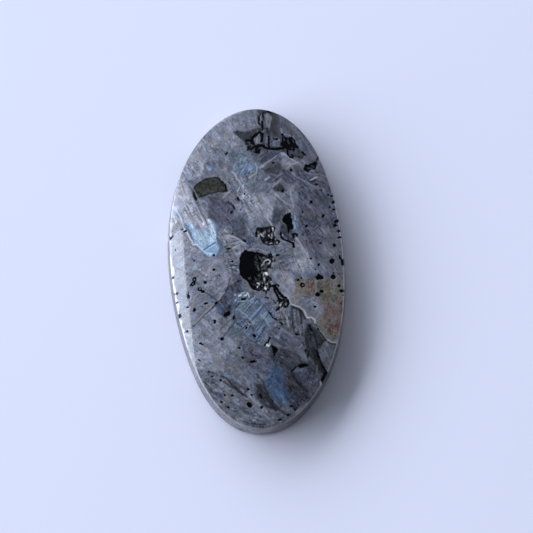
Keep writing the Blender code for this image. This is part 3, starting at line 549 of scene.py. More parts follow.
# Black hornblende and mica: the outlines of the large pieces, and the veins with the half width of each.
BLACK_CRYSTALS = (
    ((-2, -.5), (-1.9, .1), (-1.88, .7), (-1.6, 1.2), (-1.4, 1.4), (-1.1, 1.5), (-1, 1.35), (-.5, 1.33), (-.1, 1.2),
     (.4, 1.1), (.85, .88), (1, .75), (.5, .45), (.35, -.2), (.3, -.8), (.5, -1.3), (.3, -2), (.5, -2.6), (.3, -3),
     (-.1, -3.05), (-.5, -2.95), (-.85, -2.6), (-1.05, -2.1), (-1.5, -1.7), (-2, -1.2)),
    ((3, 5.05), (3.3, 5.3), (3.6, 5.35), (3.75, 5.45), (3.9, 5.3), (3.85, 4.95), (3.93, 4.8), (3.95, 4.3),
     (4.1, 3.9), (4.05, 3.65), (3.85, 3.55), (3.7, 3.55), (3.55, 3.2), (3.45, 3.2), (3.4, 3.5), (3.4, 3.9),
     (3.2, 4.2), (2.95, 4.4), (2.85, 4.6), (2.95, 4.85)),
    ((3.1, 13.2), (3.3, 13.6), (3.3, 14.1), (3.2, 14.4), (3.45, 14.5), (3.6, 14.2), (4, 14), (4.4, 14.1),
     (4.75, 13.7), (4.9, 13.2), (5.15, 12.9), (5, 12.7), (4.7, 12.8), (4.65, 12.4), (4.45, 12.4), (4.4, 13),
     (4.2, 12.75), (3.7, 12.7), (3.4, 12.85)),
    ((5.5, 10.35), (5.6, 10.6), (5.65, 10.85), (5.8, 10.9), (6, 10.8), (6.15, 10.95), (6.35, 11.05), (6.6, 11.1),
     (6.8, 11.25), (6.95, 11.2), (7, 10.95), (6.95, 10.6), (6.8, 10.3), (6.5, 10.25), (6.3, 10.3), (6.15, 10.1),
     (6.1, 9.9), (5.95, 9.95), (5.85, 10.1), (5.65, 10.1)),
    ((6.15, -1.75), (6.35, -1.6), (6.5, -1.3), (6.7, -1.5), (7.1, -1.75), (6.95, -2), (6.2, -2.05)),
    ((.4, 3), (.55, 2.9), (.8, 2.85), (1.1, 2.95), (1.3, 3.05), (1.3, 2.7), (1, 2.45), (.85, 2.15), (.7, 2.1),
     (.6, 2.3), (.45, 2.7)),
    ((.95, 3.15), (1.2, 3.3), (1.55, 3.35), (1.7, 3.9), (2, 4.05), (2.15, 3.7), (2, 3.35), (2, 2.5), (2.2, 2.45),
     (2.45, 2.55), (2.55, 2.2), (2.3, 1.95), (1.9, 1.85), (1.4, 1.88), (1.1, 1.85), (1, 2.1), (1.15, 2.5),
     (1.3, 2.7)),
    ((.95, -8.85), (1.25, -9), (1.5, -9.15), (1.75, -9.4), (1.7, -9.75), (1.45, -9.75), (1.45, -10.1), (1.25, -10.2),
     (1.2, -9.7), (1.1, -9.3)),
    ((3.5, -11.5), (3.9, -11.15), (4.3, -11.1), (4.8, -11.15), (4.9, -11.4), (4.3, -11.5), (3.95, -11.35)),
)
BLACK_VEINS = (
    (.15, ((-.6, 13.75), (-.2, 13.8), (.15, 13.4), (0, 14), (.5, 14.45), (.9, 14.65), (1.2, 14.5), (1.15, 14),
           (1.05, 13.6))),
    (.15, ((-.1, 12.8), (.3, 13.05), (.8, 13.2), (1.2, 13.1), (1.5, 12.85), (2, 12.75), (2.7, 12.7), (3.3, 12.7),
           (3.6, 12.95))),
    (.15, ((.7, 13.1), (.45, 12.75), (.4, 12.45), (.6, 12.35), (.8, 12.6))), (.13, ((-.45, 12.75), (-.3, 13.1))),
    (.1, ((-.6, 13.45), (-.35, 13.35))), (.1, ((1.85, 12.9), (1.85, 13.6), (1.9, 14.2))),
    (.08, ((2.3, 13.9), (2.8, 13.85))), (.1, ((.95, 16.5), (.9, 16), (.95, 15.7))), (.1, ((1.25, 15.9), (1.2, 15))),
    (.08, ((1.4, 17), (1.4, 16.4))), (.1, ((2.3, 17.3), (2.6, 16.9), (3, 16.9))),
    (.07, ((-.2, 17.6), (.7, 17.55), (1.6, 17.4), (2.5, 17.15), (3.1, 16.9), (4, 16.4))),
    (.11, ((3.8, 12.4), (3.9, 12), (4.1, 11.7), (4.35, 11.7), (4.35, 12))), (.12, ((5.5, 12.3), (5.7, 12))),
    (.1, ((3.9, 12.65), (4.3, 12.6))), (.07, ((7, 11.2), (7.1, 11.6))),
    (.12, ((.03, 3.4), (.03, 2.95))), (.1, ((.6, 3.8), (.62, 3.45))), (.07, ((1.4, 3.9), (1.6, 3.5))),
    (.11, ((2.65, 3.2), (2.65, 2.9), (2.8, 2.6), (3.2, 2.4), (3.7, 2.15), (3.97, 2))), (.13, ((3.98, 2), (4, 1.65))),
    (.12, ((3.95, 2.7), (4, 2.95), (4.2, 3.05), (4.45, 3), (4.4, 2.85))), (.05, ((4.1, 2.3), (4.05, 2.6))),
    (.1, ((.45, 0), (.2, -.4))), (.1, ((.5, -.85), (1, -.85))), (.1, ((1.2, .65), (1.4, .75))),
    (.1, ((1.45, .4), (1.6, .1), (1.9, .2))), (.09, ((1.2, .2), (1, .15))), (.1, ((1.15, -.4), (1.6, -.55))),
    (.12, ((1.2, .7), (1.5, .9), (1.6, .6))), (.12, ((2.1, .75), (2.35, .8))), (.1, ((1.75, .25), (1.85, .1))),
    (.1, ((1.5, -.6), (1.3, -.45))), (.12, ((1.3, -1.8), (1.35, -2.2), (1.1, -2.5))), (.1, ((2, -2.4), (2.15, -2.6))),
    (.15, ((.55, -1.5), (.5, -2.3))), (.2, ((.75, -1.45), (1.15, -1.75), (1.15, -2.1))),
    (.14, ((.6, -2.45), (1.05, -2.6), (1.6, -2.6), (1.75, -2.5))), (.14, ((.55, -3), (.8, -3.05), (1.05, -2.85))),
    (.08, ((1.95, -2.25), (2.12, -2.6))),
    (.11, ((1.65, -2.75), (1.7, -3.1), (1.85, -3.4), (2.05, -3.8), (2.2, -4))),
    (.14, ((1.8, -2.7), (2.05, -3.1), (2.3, -3.5), (2.6, -3.8), (2.85, -3.95))),
    (.11, ((2, -4.2), (2.2, -4.08), (2.6, -4.1), (2.65, -4.45))),
    (.13, ((3.05, -4.2), (3.1, -4.5), (2.95, -4.8), (2.7, -4.92), (2.45, -4.75), (2.2, -4.85), (2, -5.05),
           (1.8, -5.25))),
    (.07, ((1.3, -4), (1.55, -4.2), (1.75, -4.5))), (.1, ((.65, -3.75), (1, -3.9))), (.07, ((.75, -3.2), (.8, -3.4))),
    (.09, ((1, -5.4), (1.4, -6), (1.8, -6.3))), (.09, ((2.1, -6.5), (2.4, -6.8))),
    (.09, ((-6.5, 8.2), (-6.35, 7.5))), (.1, ((-2.9, 6.95), (-2.4, 6.5), (-2.15, 6.1))),
    (.1, ((-1.85, 7.3), (-1.6, 7))), (.08, ((-3.9, 9.75), (-3.45, 9.3), (-3.1, 8.9), (-3, 8.1))),
    (.09, ((5.88, -9.75), (6.15, -10.7), (6.45, -11.4))),
    (.13, ((6.45, -11.4), (6.8, -12), (6.45, -12.6), (6.3, -12.9))),
    (.07, ((5.9, -6.9), (6.3, -7.65), (7, -8.6))), (.1, ((5.2, -7), (5.5, -7.6))),
    (.07, ((4.42, -8.85), (4.62, -9.2))),
    (.07, ((4.65, -9.6), (4.75, -9.95))), (.07, ((4.92, -10.2), (5, -10.55))), (.1, ((.95, -8.15), (.75, -8.6), (.35, -8.95))),
    (.08, ((3.1, -11.9), (3.5, -11.5))),
    (.1, ((-1.35, 2.6), (-1.15, 2.4))), (.1, ((9.1, .25), (9.22, -.4))), (.1, ((-.4, -14.2), (-.2, -14.6))),
    (.08, ((-2.7, -5.6), (-2.8, -6))), (.12, ((-1.9, -3.85), (-1.5, -3.85))), (.05, ((7.4, 11.2), (8.05, 9.9))),
)

# Single dark grains: place, half length, half width, turn in degrees from +X.
BLACK_GRAINS = (
    (6.15, 6.6, .16, .13, 60), (5.15, 5.45, .12, .07, 100), (7.4, 5.05, .22, .1, 45), (5.45, 3.9, .18, .11, 50),
    (8.75, 4.4, .19, .15, 20), (8.6, 3.98, .16, .12, 0), (8.95, 3.35, .12, .12, 0), (9, 2.6, .14, .1, 20),
    (8.07, 7.4, .12, .1, 20), (8.45, 7.25, .1, .09, 0), (8.55, 6.55, .18, .12, 40), (8.15, 6.04, .1, .09, 30),
    (8.57, 5.77, .1, .09, 0), (4.15, 10.25, .16, .14, 60), (3.1, 7.95, .14, .12, 60), (8.4, 1.75, .18, .15, 70),
    (8.05, 0, .28, .25, 20), (8.98, .45, .1, .18, 0), (6.6, -.4, .14, .1, 70), (5.8, .3, .1, .09, 0),
    (8.1, -1.75, .27, .25, 10), (4.25, -2, .12, .1, 0), (4.7, -2.6, .25, .22, 60), (6.8, -3.3, .2, .14, -10),
    (6.3, -3.65, .23, .2, 20), (8.9, -3.3, .2, .14, 30), (9.15, -3.75, .12, .12, 0), (5.95, -5, .12, .1, 20),
    (6.2, -.9, .08, .08, 0), (8.7, -2.7, .16, .12, 40), (4.6, -1.85, .08, .08, 0), (6.9, 2, .1, .08, 0),
    (-4.6, 1.15, .13, .09, 20), (-7.6, 3.95, .12, .09, 20), (-7.9, 4.15, .08, .06, 0), (-2.7, .3, .12, .1, 0),
    (-4.7, -.5, .13, .11, 0), (-5.7, -1.85, .17, .15, 20), (-4.15, -1.2, .08, .08, 0), (-6.8, .65, .07, .06, 0),
    (-7.53, -3.15, .09, .26, 5), (-5.98, -2.82, .16, .13, -30), (-8.78, -2.7, .1, .09, 0),
    (-8.8, -3.7, .07, .07, 0), (-7.35, -2.05, .06, .05, 0), (-5.7, -4.1, .17, .13, 0), (-7, -4.75, .17, .14, 30), (-7.65, -4.4, .1, .08, 0),
    (-8.55, -5.15, .09, .16, 0), (-3.5, -5.4, .38, .2, 35), (-4.6, -4.15, .16, .12, 20), (-4.85, -6.15, .14, .18, 0),
    (-2.8, -5.9, .08, .14, 10), (-1.5, -6.95, .1, .08, 30), (-.7, -7.85, .2, .1, -50), (-4.15, -8.05, .2, .15, 10),
    (-2.35, -9.1, .12, .1, 0), (-2, -10.15, .12, .11, 0), (-.95, -10.65, .28, .13, 5),  (-4.5, -12.5, .13, .12, 0), (-4.15, -14.1, .1, .12, 0), (-1.65, -13.55, .12, .16, 30), (-1.3, -14.2, .12, .1, 0),
    (-1.55, -15.25, .26, .2, -50), (-.25, -15.6, .15, .13, 40), (4.35, -11.3, .45, .18, 5), (3.85, -7.9, .22, .1, 0),
    (2.9, -15.6, .16, .11, 0), (3.35, -16, .12, .09, 0), (2.5, -16.5, .12, .1, 0), (1.6, -17, .16, .08, 0),
    (-8.75, 1.95, .06, .09, 0), (-9.15, 3.4, .06, .2, -30), (-9.15, -.95, .07, .1, 0), (-7.85, -6.95, .12, .1, 0),
    (-1.05, 7.75, .1, .08, 0), (-1.8, 7.3, .16, .1, -50), (-2.55, 5.7, .12, .12, 0), (-2.55, 3.35, .12, .06, -20),
    (-3.1, 1.75, .14, .06, 0), (-6.4, -8.45, .2, .1, -30), (-6.7, -10.15, .06, .16, 20),
    (-5.7, -11.5, .08, .08, 0), (-5.4, -12, .1, .06, 0), (-3.4, -14.2, .12, .07, 0), (-4.5, -14.8, .12, .1, 0),
    (-3.85, -15.4, .14, .08, -30), (-6.1, -4.4, .05, .05, 0), (1.9, 17.1, .3, .1, -20), (6.85, 8.6, .14, .09, 20),
    (2.2, 11.15, .12, .08, 0), (-2.8, 12.4, .1, .16, -30), (8.15, -1.3, .08, .06, 0),
)
RING_GRAINS = ((-6.85, -1.42, .2, .15, 45), (-7.03, -1.88, .2, .14, 20), (-6.3, -2.56, .2, .15, -40),
               (4.7, -2.6, .16, .2, 60))
GRAIN_SWELL = 0.03  # how much larger the grains show than the black that could be read off

# Shallow rough pockets where the polishing plucked soft mica out, dark with a few torn leaves whose
# bright glints are painted highlights.
MICA_POCKETS = (
    ((-.3, .95), (.4, 1), (.9, .8), (1.5, .85), (1.85, .5), (1.9, .1), (1.6, -.6), (1.15, -.95), (1.1, -1.3),
     (1.4, -1.9), (1.2, -2.3), (1, -2.9), (.5, -3.05), (-.2, -2.9), (-1, -2), (-.9, -1.4), (-.2, -1), (-.3, 0)),
    ((0, 3.9), (.6, 3.9), (1, 4), (1.9, 4.05), (2.1, 3.6), (2, 2.9), (2.5, 2.4), (2, 1.9), (1.1, 1.9), (.7, 2.1),
     (.4, 2.8), (0, 3)),
    ((2, -4.2), (2.9, -4.1), (3.1, -4.5), (2.9, -4.85), (2.5, -4.85), (2.1, -4.75)),
)
# Painted highlights, the glints off torn mica leaves, and a few grey flecks in the black: tone, half width,
# and the points.
GLINTS = (
    ("faeeea", .04, ((.65, .1), (.9, .3), (1.15, .4), (1.3, .28), (1.32, .05), (1.2, -.08))),
    ("a8a4a7", .03, ((-.15, .75), (-.05, .45))), ("a8aaad", .03, ((-.05, -.25), (0, -.5), (.15, -.75))),
    ("807466", .04, ((-.1, 0), (-.2, .15))), ("807f84", .04, ((.15, .75), (.35, .6), (.25, .55))),
    ("9e9a9c", .04, ((.7, .6), (.85, .52))), ("8f8c8f", .03, ((.4, -.2), (.6, .05))),
    ("fffbea", .05, ((.58, -1.38), (.68, -1.15), (.85, -1.1), (.98, -1.28))), ("ede5e4", .04, ((.62, -1.62), (.65, -1.85))),
    ("e4ddde", .05, ((-.15, -2.15), (0, -2.15), (.1, -2.35))), ("ada8ac", .04, ((.15, -2), (.5, -2.15))),
    ("fffbea", .05, ((-.13, -2.5), (-.1, -2.6))), ("faeeea", .05, ((.66, -2.68), (.76, -2.95))),
    ("8f8c91", .04, ((0, -1.35), (.08, -1.33))), ("807e84", .05, ((-.25, -1.7), (-.2, -1.75))),
    ("645e63", .06, ((-1, -1.6), (-.75, -1.55))), ("8f8c91", .04, ((.8, -2.3), (1, -2.25))),
    ("807e84", .03, ((-.35, -2.35), (-.3, -2.3))), ("b8b3b8", .05, ((1.32, -2.05), (1.4, -2.3))),
    ("4e494d", .11, ((.75, -.2), (.8, -.6))),
    ("fffbea", .06, ((1.82, 3.85), (1.82, 3.62))), ("faeeea", .05, ((1.35, 3.05), (1.4, 2.97))),
    ("b8b3b8", .04, ((1.7, 3.25), (1.66, 2.65))), ("aea9ad", .04, ((1.4, 2.12), (1.6, 2.15))),
    ("aea59a", .04, ((2.15, 2.25), (2.25, 2.1))), ("8f8c91", .04, ((1.05, 2.35), (1.2, 2.27))),
    ("c9c2c6", .05, ((.25, 3.5), (.3, 2.95))), ("e9e1e2", .04, ((.45, 3.3), (.6, 3.1), (.78, 2.87))),
    ("939096", .05, ((.85, 3.4), (.75, 3.15))), ("8f8c91", .05, ((1.35, 3.65), (1.4, 3.45))),
    ("aca19e", .04, ((2.82, 3.08), (2.83, 2.85))), ("6f6771", .09, ((3.6, 2.95), (3.8, 2.75))),
    ("ede7e8", .06, ((2.15, -4.68), (2.25, -4.7))), ("d9d1d5", .04, ((2.25, -4.65), (2.45, -4.35))),
    ("b8b3b8", .04, ((1.92, -4.42), (1.98, -4.4))), ("b8b3b8", .04, ((2.5, -4.95), (2.2, -5.1))),
    ("dde6e4", .08, ((-2.15, -3.5), (-1.98, -3.38))), ("adc5d2", .04, ((-1.95, -3.2), (-1.5, -3.08))),
    ("faf0ea", .05, ((-1.55, -3.58), (-1.35, -3.38), (-1.25, -3.25))), ("dde6e4", .04, ((-1.2, -3.3), (-1.07, -3.7))),
    ("a8a3ac", .08, ((-2.58, -3.35), (-2.5, -3.37))), ("7f919a", .04, ((-1.2, -3.1), (-1.05, -3.25))),
    ("faf0ea", .11, ((.62, -8.98), (.74, -9))), ("a3bdd2", .06, ((.9, -8.75), (.85, -8.95))),
    ("cdd0d5", .03, ((4.72, -2.52), (4.68, -2.6))),
    ("c4c4c6", .03, ((-1.3, -6.5), (-1.15, -6.65))), ("7d7c83", .03, ((3.5, 14.1), (3.55, 13.7))), ("5d5c63", .03, ((3.9, 13.7), (4.1, 13.3))),
    ("5d5c63", .03, ((4.45, 13.8), (4.6, 13.4))), ("8b8a92", .04, ((2.2, 14), (2.3, 13.9))),
    ("8b8a92", .04, ((2.95, 13.75), (3, 13.6))), ("77767e", .04, ((2.7, 13.1), (2.9, 13))),
    ("77767e", .05, ((1.2, 14.75), (1.35, 14.75))), ("8b8a92", .04, ((3.2, 15.1), (3.35, 15))),
    ("5a5a62", .05, ((5.95, 10.5), (6.15, 10.4))), ("5a5a62", .05, ((6.4, 10.75), (6.6, 10.6))),
    ("45454c", .07, ((6.3, 10.45), (6.5, 10.4))), ("5a5a62", .04, ((6.15, 10.1), (6.1, 10))),
)
SEAM_DARKNESS = 0.35
POCKET_DEPTH = 0.2
POCKET_RIM = 0.3
GRAIN_DEPTH = 0.03
CRACK_DEPTH = 0.03
FLAT_SIZE, FLAT_HEIGHT = 4.5, 0.02
CHIP_PLACE = (6.8, -12.8, 3.45)
CHIP_SIZE = (0.62, 1.0, 0.55)
CHIP_TURN = -28

depth = np.clip(RIDGE_HEIGHT - points[:, 2], 0, None)
centred = points[:, :2] + oval_middle()
angles = np.arctan2(centred[:, 1] / RIDGE_HALF_LENGTH, centred[:, 0] / RIDGE_HALF_WIDTH)
share_out = np.hypot(*centred.T) / np.hypot(*oval_point(angles))

# The wall shows the crystals that lie just inside the ridge, as if folded down over it and part of the way
# back, so that they run on round both edges. The back shows the same crystals, shifted and a little changed.
fold = np.minimum(depth, 2 * FOLD_DEPTH - depth) / reach(angles)
place = centred * (np.minimum(1, MARGIN / np.maximum(share_out, 0.001)) * (1 - fold))[:, None] - oval_middle()
place += depth[:, None] * SLANT
wandering = np.stack([waver(place, 6, SEED + 30), waver(place, 6, SEED + 31)], axis=1)
place += WANDERING * depth[:, None] * wandering
steep = steepness(angles)
place -= (np.minimum(share_out, 1) ** 2 * (1 - 0.6 * steep))[:, None] * READING_SHIFT

ragged = wavered(place, 0.05, 0.28, SEED)
loose = wavered(place, 0.22, 0.9, SEED + 2)

colour = np.tile(linear(GREY), (len(place), 1))
direction = np.full(len(place), 120.0)
streakiness = np.full(len(place), 0.4)
seam_strength = 0.1
for tone, edge, turn, strength, outline in CRYSTALS:
    inside = from_outline(loose, outline)
    cover = soft(inside, edge)
    colour += cover[:, None] * (linear(tone) - colour)
    seam = soft(np.abs(inside) - 0.03, 0.12) * np.clip(seam_strength + waver(place, 1.1, SEED + turn), 0, 1)
    colour *= 1 - SEAM_DARKNESS * seam[:, None]
    direction = np.where(inside < 0, turn, direction)
    streakiness += cover * (strength - streakiness)
for tone, x, y, half_length, half_width, turn, strength in FLECKS:
    cover = strength * soft(from_grain(loose, x, y, half_length, half_width, turn), half_width * 1.2)
    colour += cover[:, None] * (linear(tone) - colour)

# The thin marks and the glints lie over the mottled rock: colour times cover, and the cover.
marks = np.zeros((len(place), 4))
glints = np.zeros((len(place), 4))


def draw(layer, distance, edge, tone, strength):
    """Lays a mark over what the layer already holds."""
    cover = (strength * soft(distance, edge))[:, None]
    layer *= 1 - cover
    layer += cover * np.append(linear(tone), 1)


for tone, width, strength, line in STREAKS:
    draw(marks, from_line(ragged, line, width / 2), 0.11, tone, strength)
crack = from_line(ragged, CRACK, CRACK_HALF_WIDTHS)
draw(marks, from_line(ragged, CRACK_SHADOW, 0.06), 0.12, "121112", 0.85)
draw(marks, crack, 0.1, "dad3d3", 0.9)
for tone, half_width, line in GLINTS:
    draw(glints, from_line(ragged, line, half_width), 0.09, tone, 0.9)

pocket = np.full(len(place), np.inf)
for outline in MICA_POCKETS:
    pocket = np.minimum(pocket, from_outline(ragged, outline))

black = np.full(len(place), np.inf)
for outline in BLACK_CRYSTALS:
    black = np.minimum(black, from_outline(ragged, outline))
for half_width, line in BLACK_VEINS:
    black = np.minimum(black, from_line(ragged, line, half_width))
for grain in BLACK_GRAINS:
    black = np.minimum(black, from_grain(ragged, *grain) - GRAIN_SWELL)
for x, y, half_length, half_width, turn in RING_GRAINS:
    ring = np.abs(from_grain(ragged, x, y, half_length, half_width, turn)) - 0.07
    black = np.minimum(black, ring)

OLIVE_GRAIN = ((-6.65, 8.7), (-6.2, 9.15), (-5.6, 9.55), (-5, 9.8), (-4.4, 9.85), (-3.8, 9.75), (-3.4, 9.3),
               (-3.05, 8.85), (-2.85, 8.5), (-2.85, 8.05), (-3.3, 8), (-3.9, 8.05), (-4.7, 7.9), (-5.5, 7.7),
               (-6.15, 7.45), (-6.45, 7.1), (-6.6, 7.6), (-6.7, 8.2))
olive = from_outline(ragged, OLIVE_GRAIN)

# The relief: pockets, hollows over the soft dark grains, the crack, and faint flats left by the grinding.
on_face = np.arange(len(points)) < face_count
pocket = np.where(on_face, pocket, 1)
glints[~on_face] = 0
sunk = POCKET_DEPTH * soft(pocket + POCKET_RIM / 2, POCKET_RIM) * (0.6 + 0.8 * np.abs(waver(place, 0.3, SEED + 5)))
sunk += GRAIN_DEPTH * soft(black, 0.2) + CRACK_DEPTH * soft(crack, 0.2)
flats = FLAT_HEIGHT * waver(place, FLAT_SIZE, SEED + 8)
rim_fade = np.clip((1 - share_out) * 8, 0, 1)
points[:, 2] -= np.where(on_face, sunk + (FLAT_HEIGHT + flats) * rim_fade, 0)

cos, sin = math.cos(math.radians(CHIP_TURN)), math.sin(math.radians(CHIP_TURN))
from_chip = points - CHIP_PLACE
turned = np.stack([from_chip[:, 0] * cos + from_chip[:, 1] * sin, from_chip[:, 1] * cos - from_chip[:, 0] * sin,
                   from_chip[:, 2]], axis=1) / CHIP_SIZE
chip_reach = np.linalg.norm(turned, axis=1) * (1 + 0.12 * waver(place * 1.7, 0.3, SEED + 9))
bitten = chip_reach < 1
inwards = np.stack([-points[:, 0], -points[:, 1], np.full(len(points), -6.0)], axis=1)
inwards /= np.linalg.norm(inwards, axis=1)[:, None]
points += np.where(bitten, 0.45 * (1 - chip_reach), 0)[:, None] * inwards

points[:, :2] *= 0.9998  # this outline is finer than the CAD stone's, and this keeps it inside that one's box

MM = 0.001
stone_mesh = bpy.data.meshes.new("cabochon_stone")
stone_mesh.from_pydata((points * MM).tolist(), [], faces)
stone_mesh.shade_smooth()
stone = bpy.data.objects.new("cabochon_stone", stone_mesh)
bpy.context.scene.collection.objects.link(stone)

# The ridge's pale matt line, partly real rubbing and partly a painted highlight, and the dull grey of the
# wall, which was ground but hardly polished.
WEAR_AND_HIGHLIGHT_WIDTH, STEEP_WEAR_AND_HIGHLIGHT_WIDTH = 0.05, 0.2
WEAR_AND_HIGHLIGHT_STRENGTH, STEEP_WEAR_AND_HIGHLIGHT_STRENGTH, RIGHT_PAINTED_HIGHLIGHT_STRENGTH = 0.22, 1.0, 0.4
SIDE_SHADE = 0.028  # the photographed tones darken to the right with the light, so this lifts them again
WALL_GREY = "777173"
LEFT_WALL_PAINTED_SHADE = 0.6
LOW_WALL_PAINTED_SHADE, LOW_WALL_ANGLE = 0.55, math.radians(-52)
FADED_FROM, FADED_TO, FADING = math.radians(98), math.radians(172), math.radians(22)
FULL_MIRROR, FADED_SHARE = 0.5, 0.85
WALL_SCRATCHES = 0.18  # the grinding left faint lines along the wall
inset = (1 - share_out) * reach(angles)
wear_and_highlight_width = WEAR_AND_HIGHLIGHT_WIDTH + (STEEP_WEAR_AND_HIGHLIGHT_WIDTH - WEAR_AND_HIGHLIGHT_WIDTH) * steep
wear_and_highlight_width *= 1 + 0.9 * waver(place, 0.45, SEED + 13)
wear_and_highlight = np.where(on_face, soft(inset - wear_and_highlight_width, 0.1), soft(depth - EDGE_ROUNDING, 0.1))
# On the right the pale ridge line is only a painted highlight.
right_side = np.clip(np.cos(angles), 0, 1) ** 2
wear_and_highlight *= WEAR_AND_HIGHLIGHT_STRENGTH + (STEEP_WEAR_AND_HIGHLIGHT_STRENGTH - WEAR_AND_HIGHLIGHT_STRENGTH) * steep + RIGHT_PAINTED_HIGHLIGHT_STRENGTH * right_side
wear_and_highlight *= np.clip(0.85 + 0.5 * waver(place, 0.6, SEED + 12), 0, 1)

# Along the upper end the ridge is still sharp, and its far side shows as a thin dark line of painted shade.
upper_end = np.clip(2.2 * np.sin(angles) - 0.8, 0, 1)
wear_and_highlight *= 1 - upper_end
draw(marks, np.where(on_face, inset, depth) - 0.03, 0.14, SOOT, 0.8 * upper_end)
lift = np.exp(SIDE_SHADE * place[:, 0])[:, None]
colour *= lift
marks[:, :3] *= lift
on_wall = np.where(on_face, 0, np.clip(depth / 0.3, 0, 1))
colour += 0.3 * on_wall[:, None] * (linear(WALL_GREY) - colour)
# Painted shade: the wall is darker on its left and at its lower right; the grinding lines are real.
left_side = np.clip(-np.cos(angles), 0, 1)
scratches = waver(np.stack([angles * 4, depth * 5], axis=1), 1.0, SEED + 20)
low_side = np.clip(np.cos(angles - LOW_WALL_ANGLE), 0, 1) ** 4
wall_shade_and_scratches = LEFT_WALL_PAINTED_SHADE * left_side + LOW_WALL_PAINTED_SHADE * low_side + WALL_SCRATCHES * scratches
colour *= (1 - on_wall * wall_shade_and_scratches)[:, None]

turn = np.radians(direction)
along = place[:, 0] * np.cos(turn) + place[:, 1] * np.sin(turn)
across = place[:, 1] * np.cos(turn) - place[:, 0] * np.sin(turn)
polish = np.where(points[:, 2] < FOOT_BEVEL, 0.0, np.where(on_face, 1.0, 0.6))

# Towards the upper left edge the polish fades, and the stone mirrors less of the window there.
faded = np.clip((angles - FADED_FROM) / FADING, 0, 1) * np.clip((FADED_TO - angles) / FADING, 0, 1)
faded *= np.clip((share_out - 0.7) / 0.15, 0, 1)
mirror = FULL_MIRROR * (1 - FADED_SHARE * faded)


def keep(name, kind, field, values):
    """Stores values for each point of the stone's mesh under a name that the material reads."""
    layer = stone_mesh.attributes.new(name, kind, "POINT")
    layer.data.foreach_set(field, np.ascontiguousarray(values, np.float32).ravel())


keep("feldspar", "FLOAT_COLOR", "color", np.concatenate([colour, np.ones((len(colour), 1))], axis=1))
keep("marks", "FLOAT_COLOR", "color", marks)
keep("glints", "FLOAT_COLOR", "color", glints)
keep("grain", "FLOAT_VECTOR", "vector", np.stack([along, across, streakiness], axis=1))
keep("place", "FLOAT_VECTOR", "vector", np.stack([place[:, 0], place[:, 1], points[:, 2]], axis=1))
keep("black", "FLOAT", "value", np.clip(black, -1, 1))
keep("pocket", "FLOAT", "value", np.clip(pocket, -1, 1))
keep("olive", "FLOAT", "value", np.clip(olive, -1, 1))
keep("polish", "FLOAT", "value", polish)
keep("wear_and_highlight", "FLOAT", "value", wear_and_highlight)
keep("mirror", "FLOAT", "value", mirror)

# The map that a baked copy of the stone uses: the face and wall spread flat, and the back beside them.
MAP_SIZE = 48.0
BACK_PLACE = (33.5, 0.0)
is_back = np.arange(len(points)) >= back_start - rim_count
outwards = np.stack([points[:, 0] / RIDGE_HALF_WIDTH**2, points[:, 1] / RIDGE_HALF_LENGTH**2], axis=1)
outwards /= np.maximum(np.linalg.norm(outwards, axis=1), 1e-9)[:, None]
spread = points[:, :2] + outwards * (depth * ~on_face)[:, None]
flat = points[:, :2] * (-1, 1) + BACK_PLACE
stone_map = stone_mesh.uv_layers.new(name="OFBake")
corner_points = np.zeros(len(stone_mesh.loops), int)
stone_mesh.loops.foreach_get("vertex_index", corner_points)
face_sizes = np.zeros(len(stone_mesh.polygons), int)
stone_mesh.polygons.foreach_get("loop_total", face_sizes)
first_corners = np.concatenate([[0], np.cumsum(face_sizes)[:-1]])
all_back = np.repeat(np.minimum.reduceat(is_back[corner_points], first_corners), face_sizes)
where = np.where(all_back[:, None], flat[corner_points], spread[corner_points])
low = np.array([-14.0, -22.0])
stone_map.data.foreach_set("uv", ((where - low) / MAP_SIZE).astype(np.float32).ravel())


# The polish
# Larvikite ground with finer and finer grit and polished with oxide, which leaves the feldspar as bright
# as glass. The black hornblende shines a little less, and the glitter of the torn mica in the pockets is
# painted into its colour as painted highlights.

FELDSPAR_IOR = 1.54
POLISHED, SATIN = 0.1, 0.45


def add(tree, kind, inputs=(), **settings):
    """Adds a node with its settings, and a link or a value for each of its named inputs."""
    made = tree.nodes.new(kind)
    for name, value in settings.items():
        setattr(made, name, value)
    for name, value in dict(inputs).items():
        if isinstance(value, bpy.types.NodeSocket):
            tree.links.new(value, made.inputs[name])
        else:
            made.inputs[name].default_value = value
    return made


def rgba(colour):
    """A colour such as "6f6f7b" as a shader's linear colour."""
    return (*linear(colour), 1.0)


larvikite = bpy.data.materials.new("polished_larvikite")
larvikite.use_nodes = True
tree = larvikite.node_tree
tree.nodes.clear()

feldspar = add(tree, "ShaderNodeAttribute", attribute_name="feldspar").outputs["Color"]
marks = add(tree, "ShaderNodeAttribute", attribute_name="marks")
glints = add(tree, "ShaderNodeAttribute", attribute_name="glints")
grain = add(tree, "ShaderNodeAttribute", attribute_name="grain").outputs["Vector"]
spot = add(tree, "ShaderNodeAttribute", attribute_name="place").outputs["Vector"]
black_reach = add(tree, "ShaderNodeAttribute", attribute_name="black").outputs["Fac"]
pocket_reach = add(tree, "ShaderNodeAttribute", attribute_name="pocket").outputs["Fac"]
olive_reach = add(tree, "ShaderNodeAttribute", attribute_name="olive").outputs["Fac"]
polish_share = add(tree, "ShaderNodeAttribute", attribute_name="polish").outputs["Fac"]
worn_and_highlit = add(tree, "ShaderNodeAttribute", attribute_name="wear_and_highlight").outputs["Fac"]
mirror_level = add(tree, "ShaderNodeAttribute", attribute_name="mirror").outputs["Fac"]

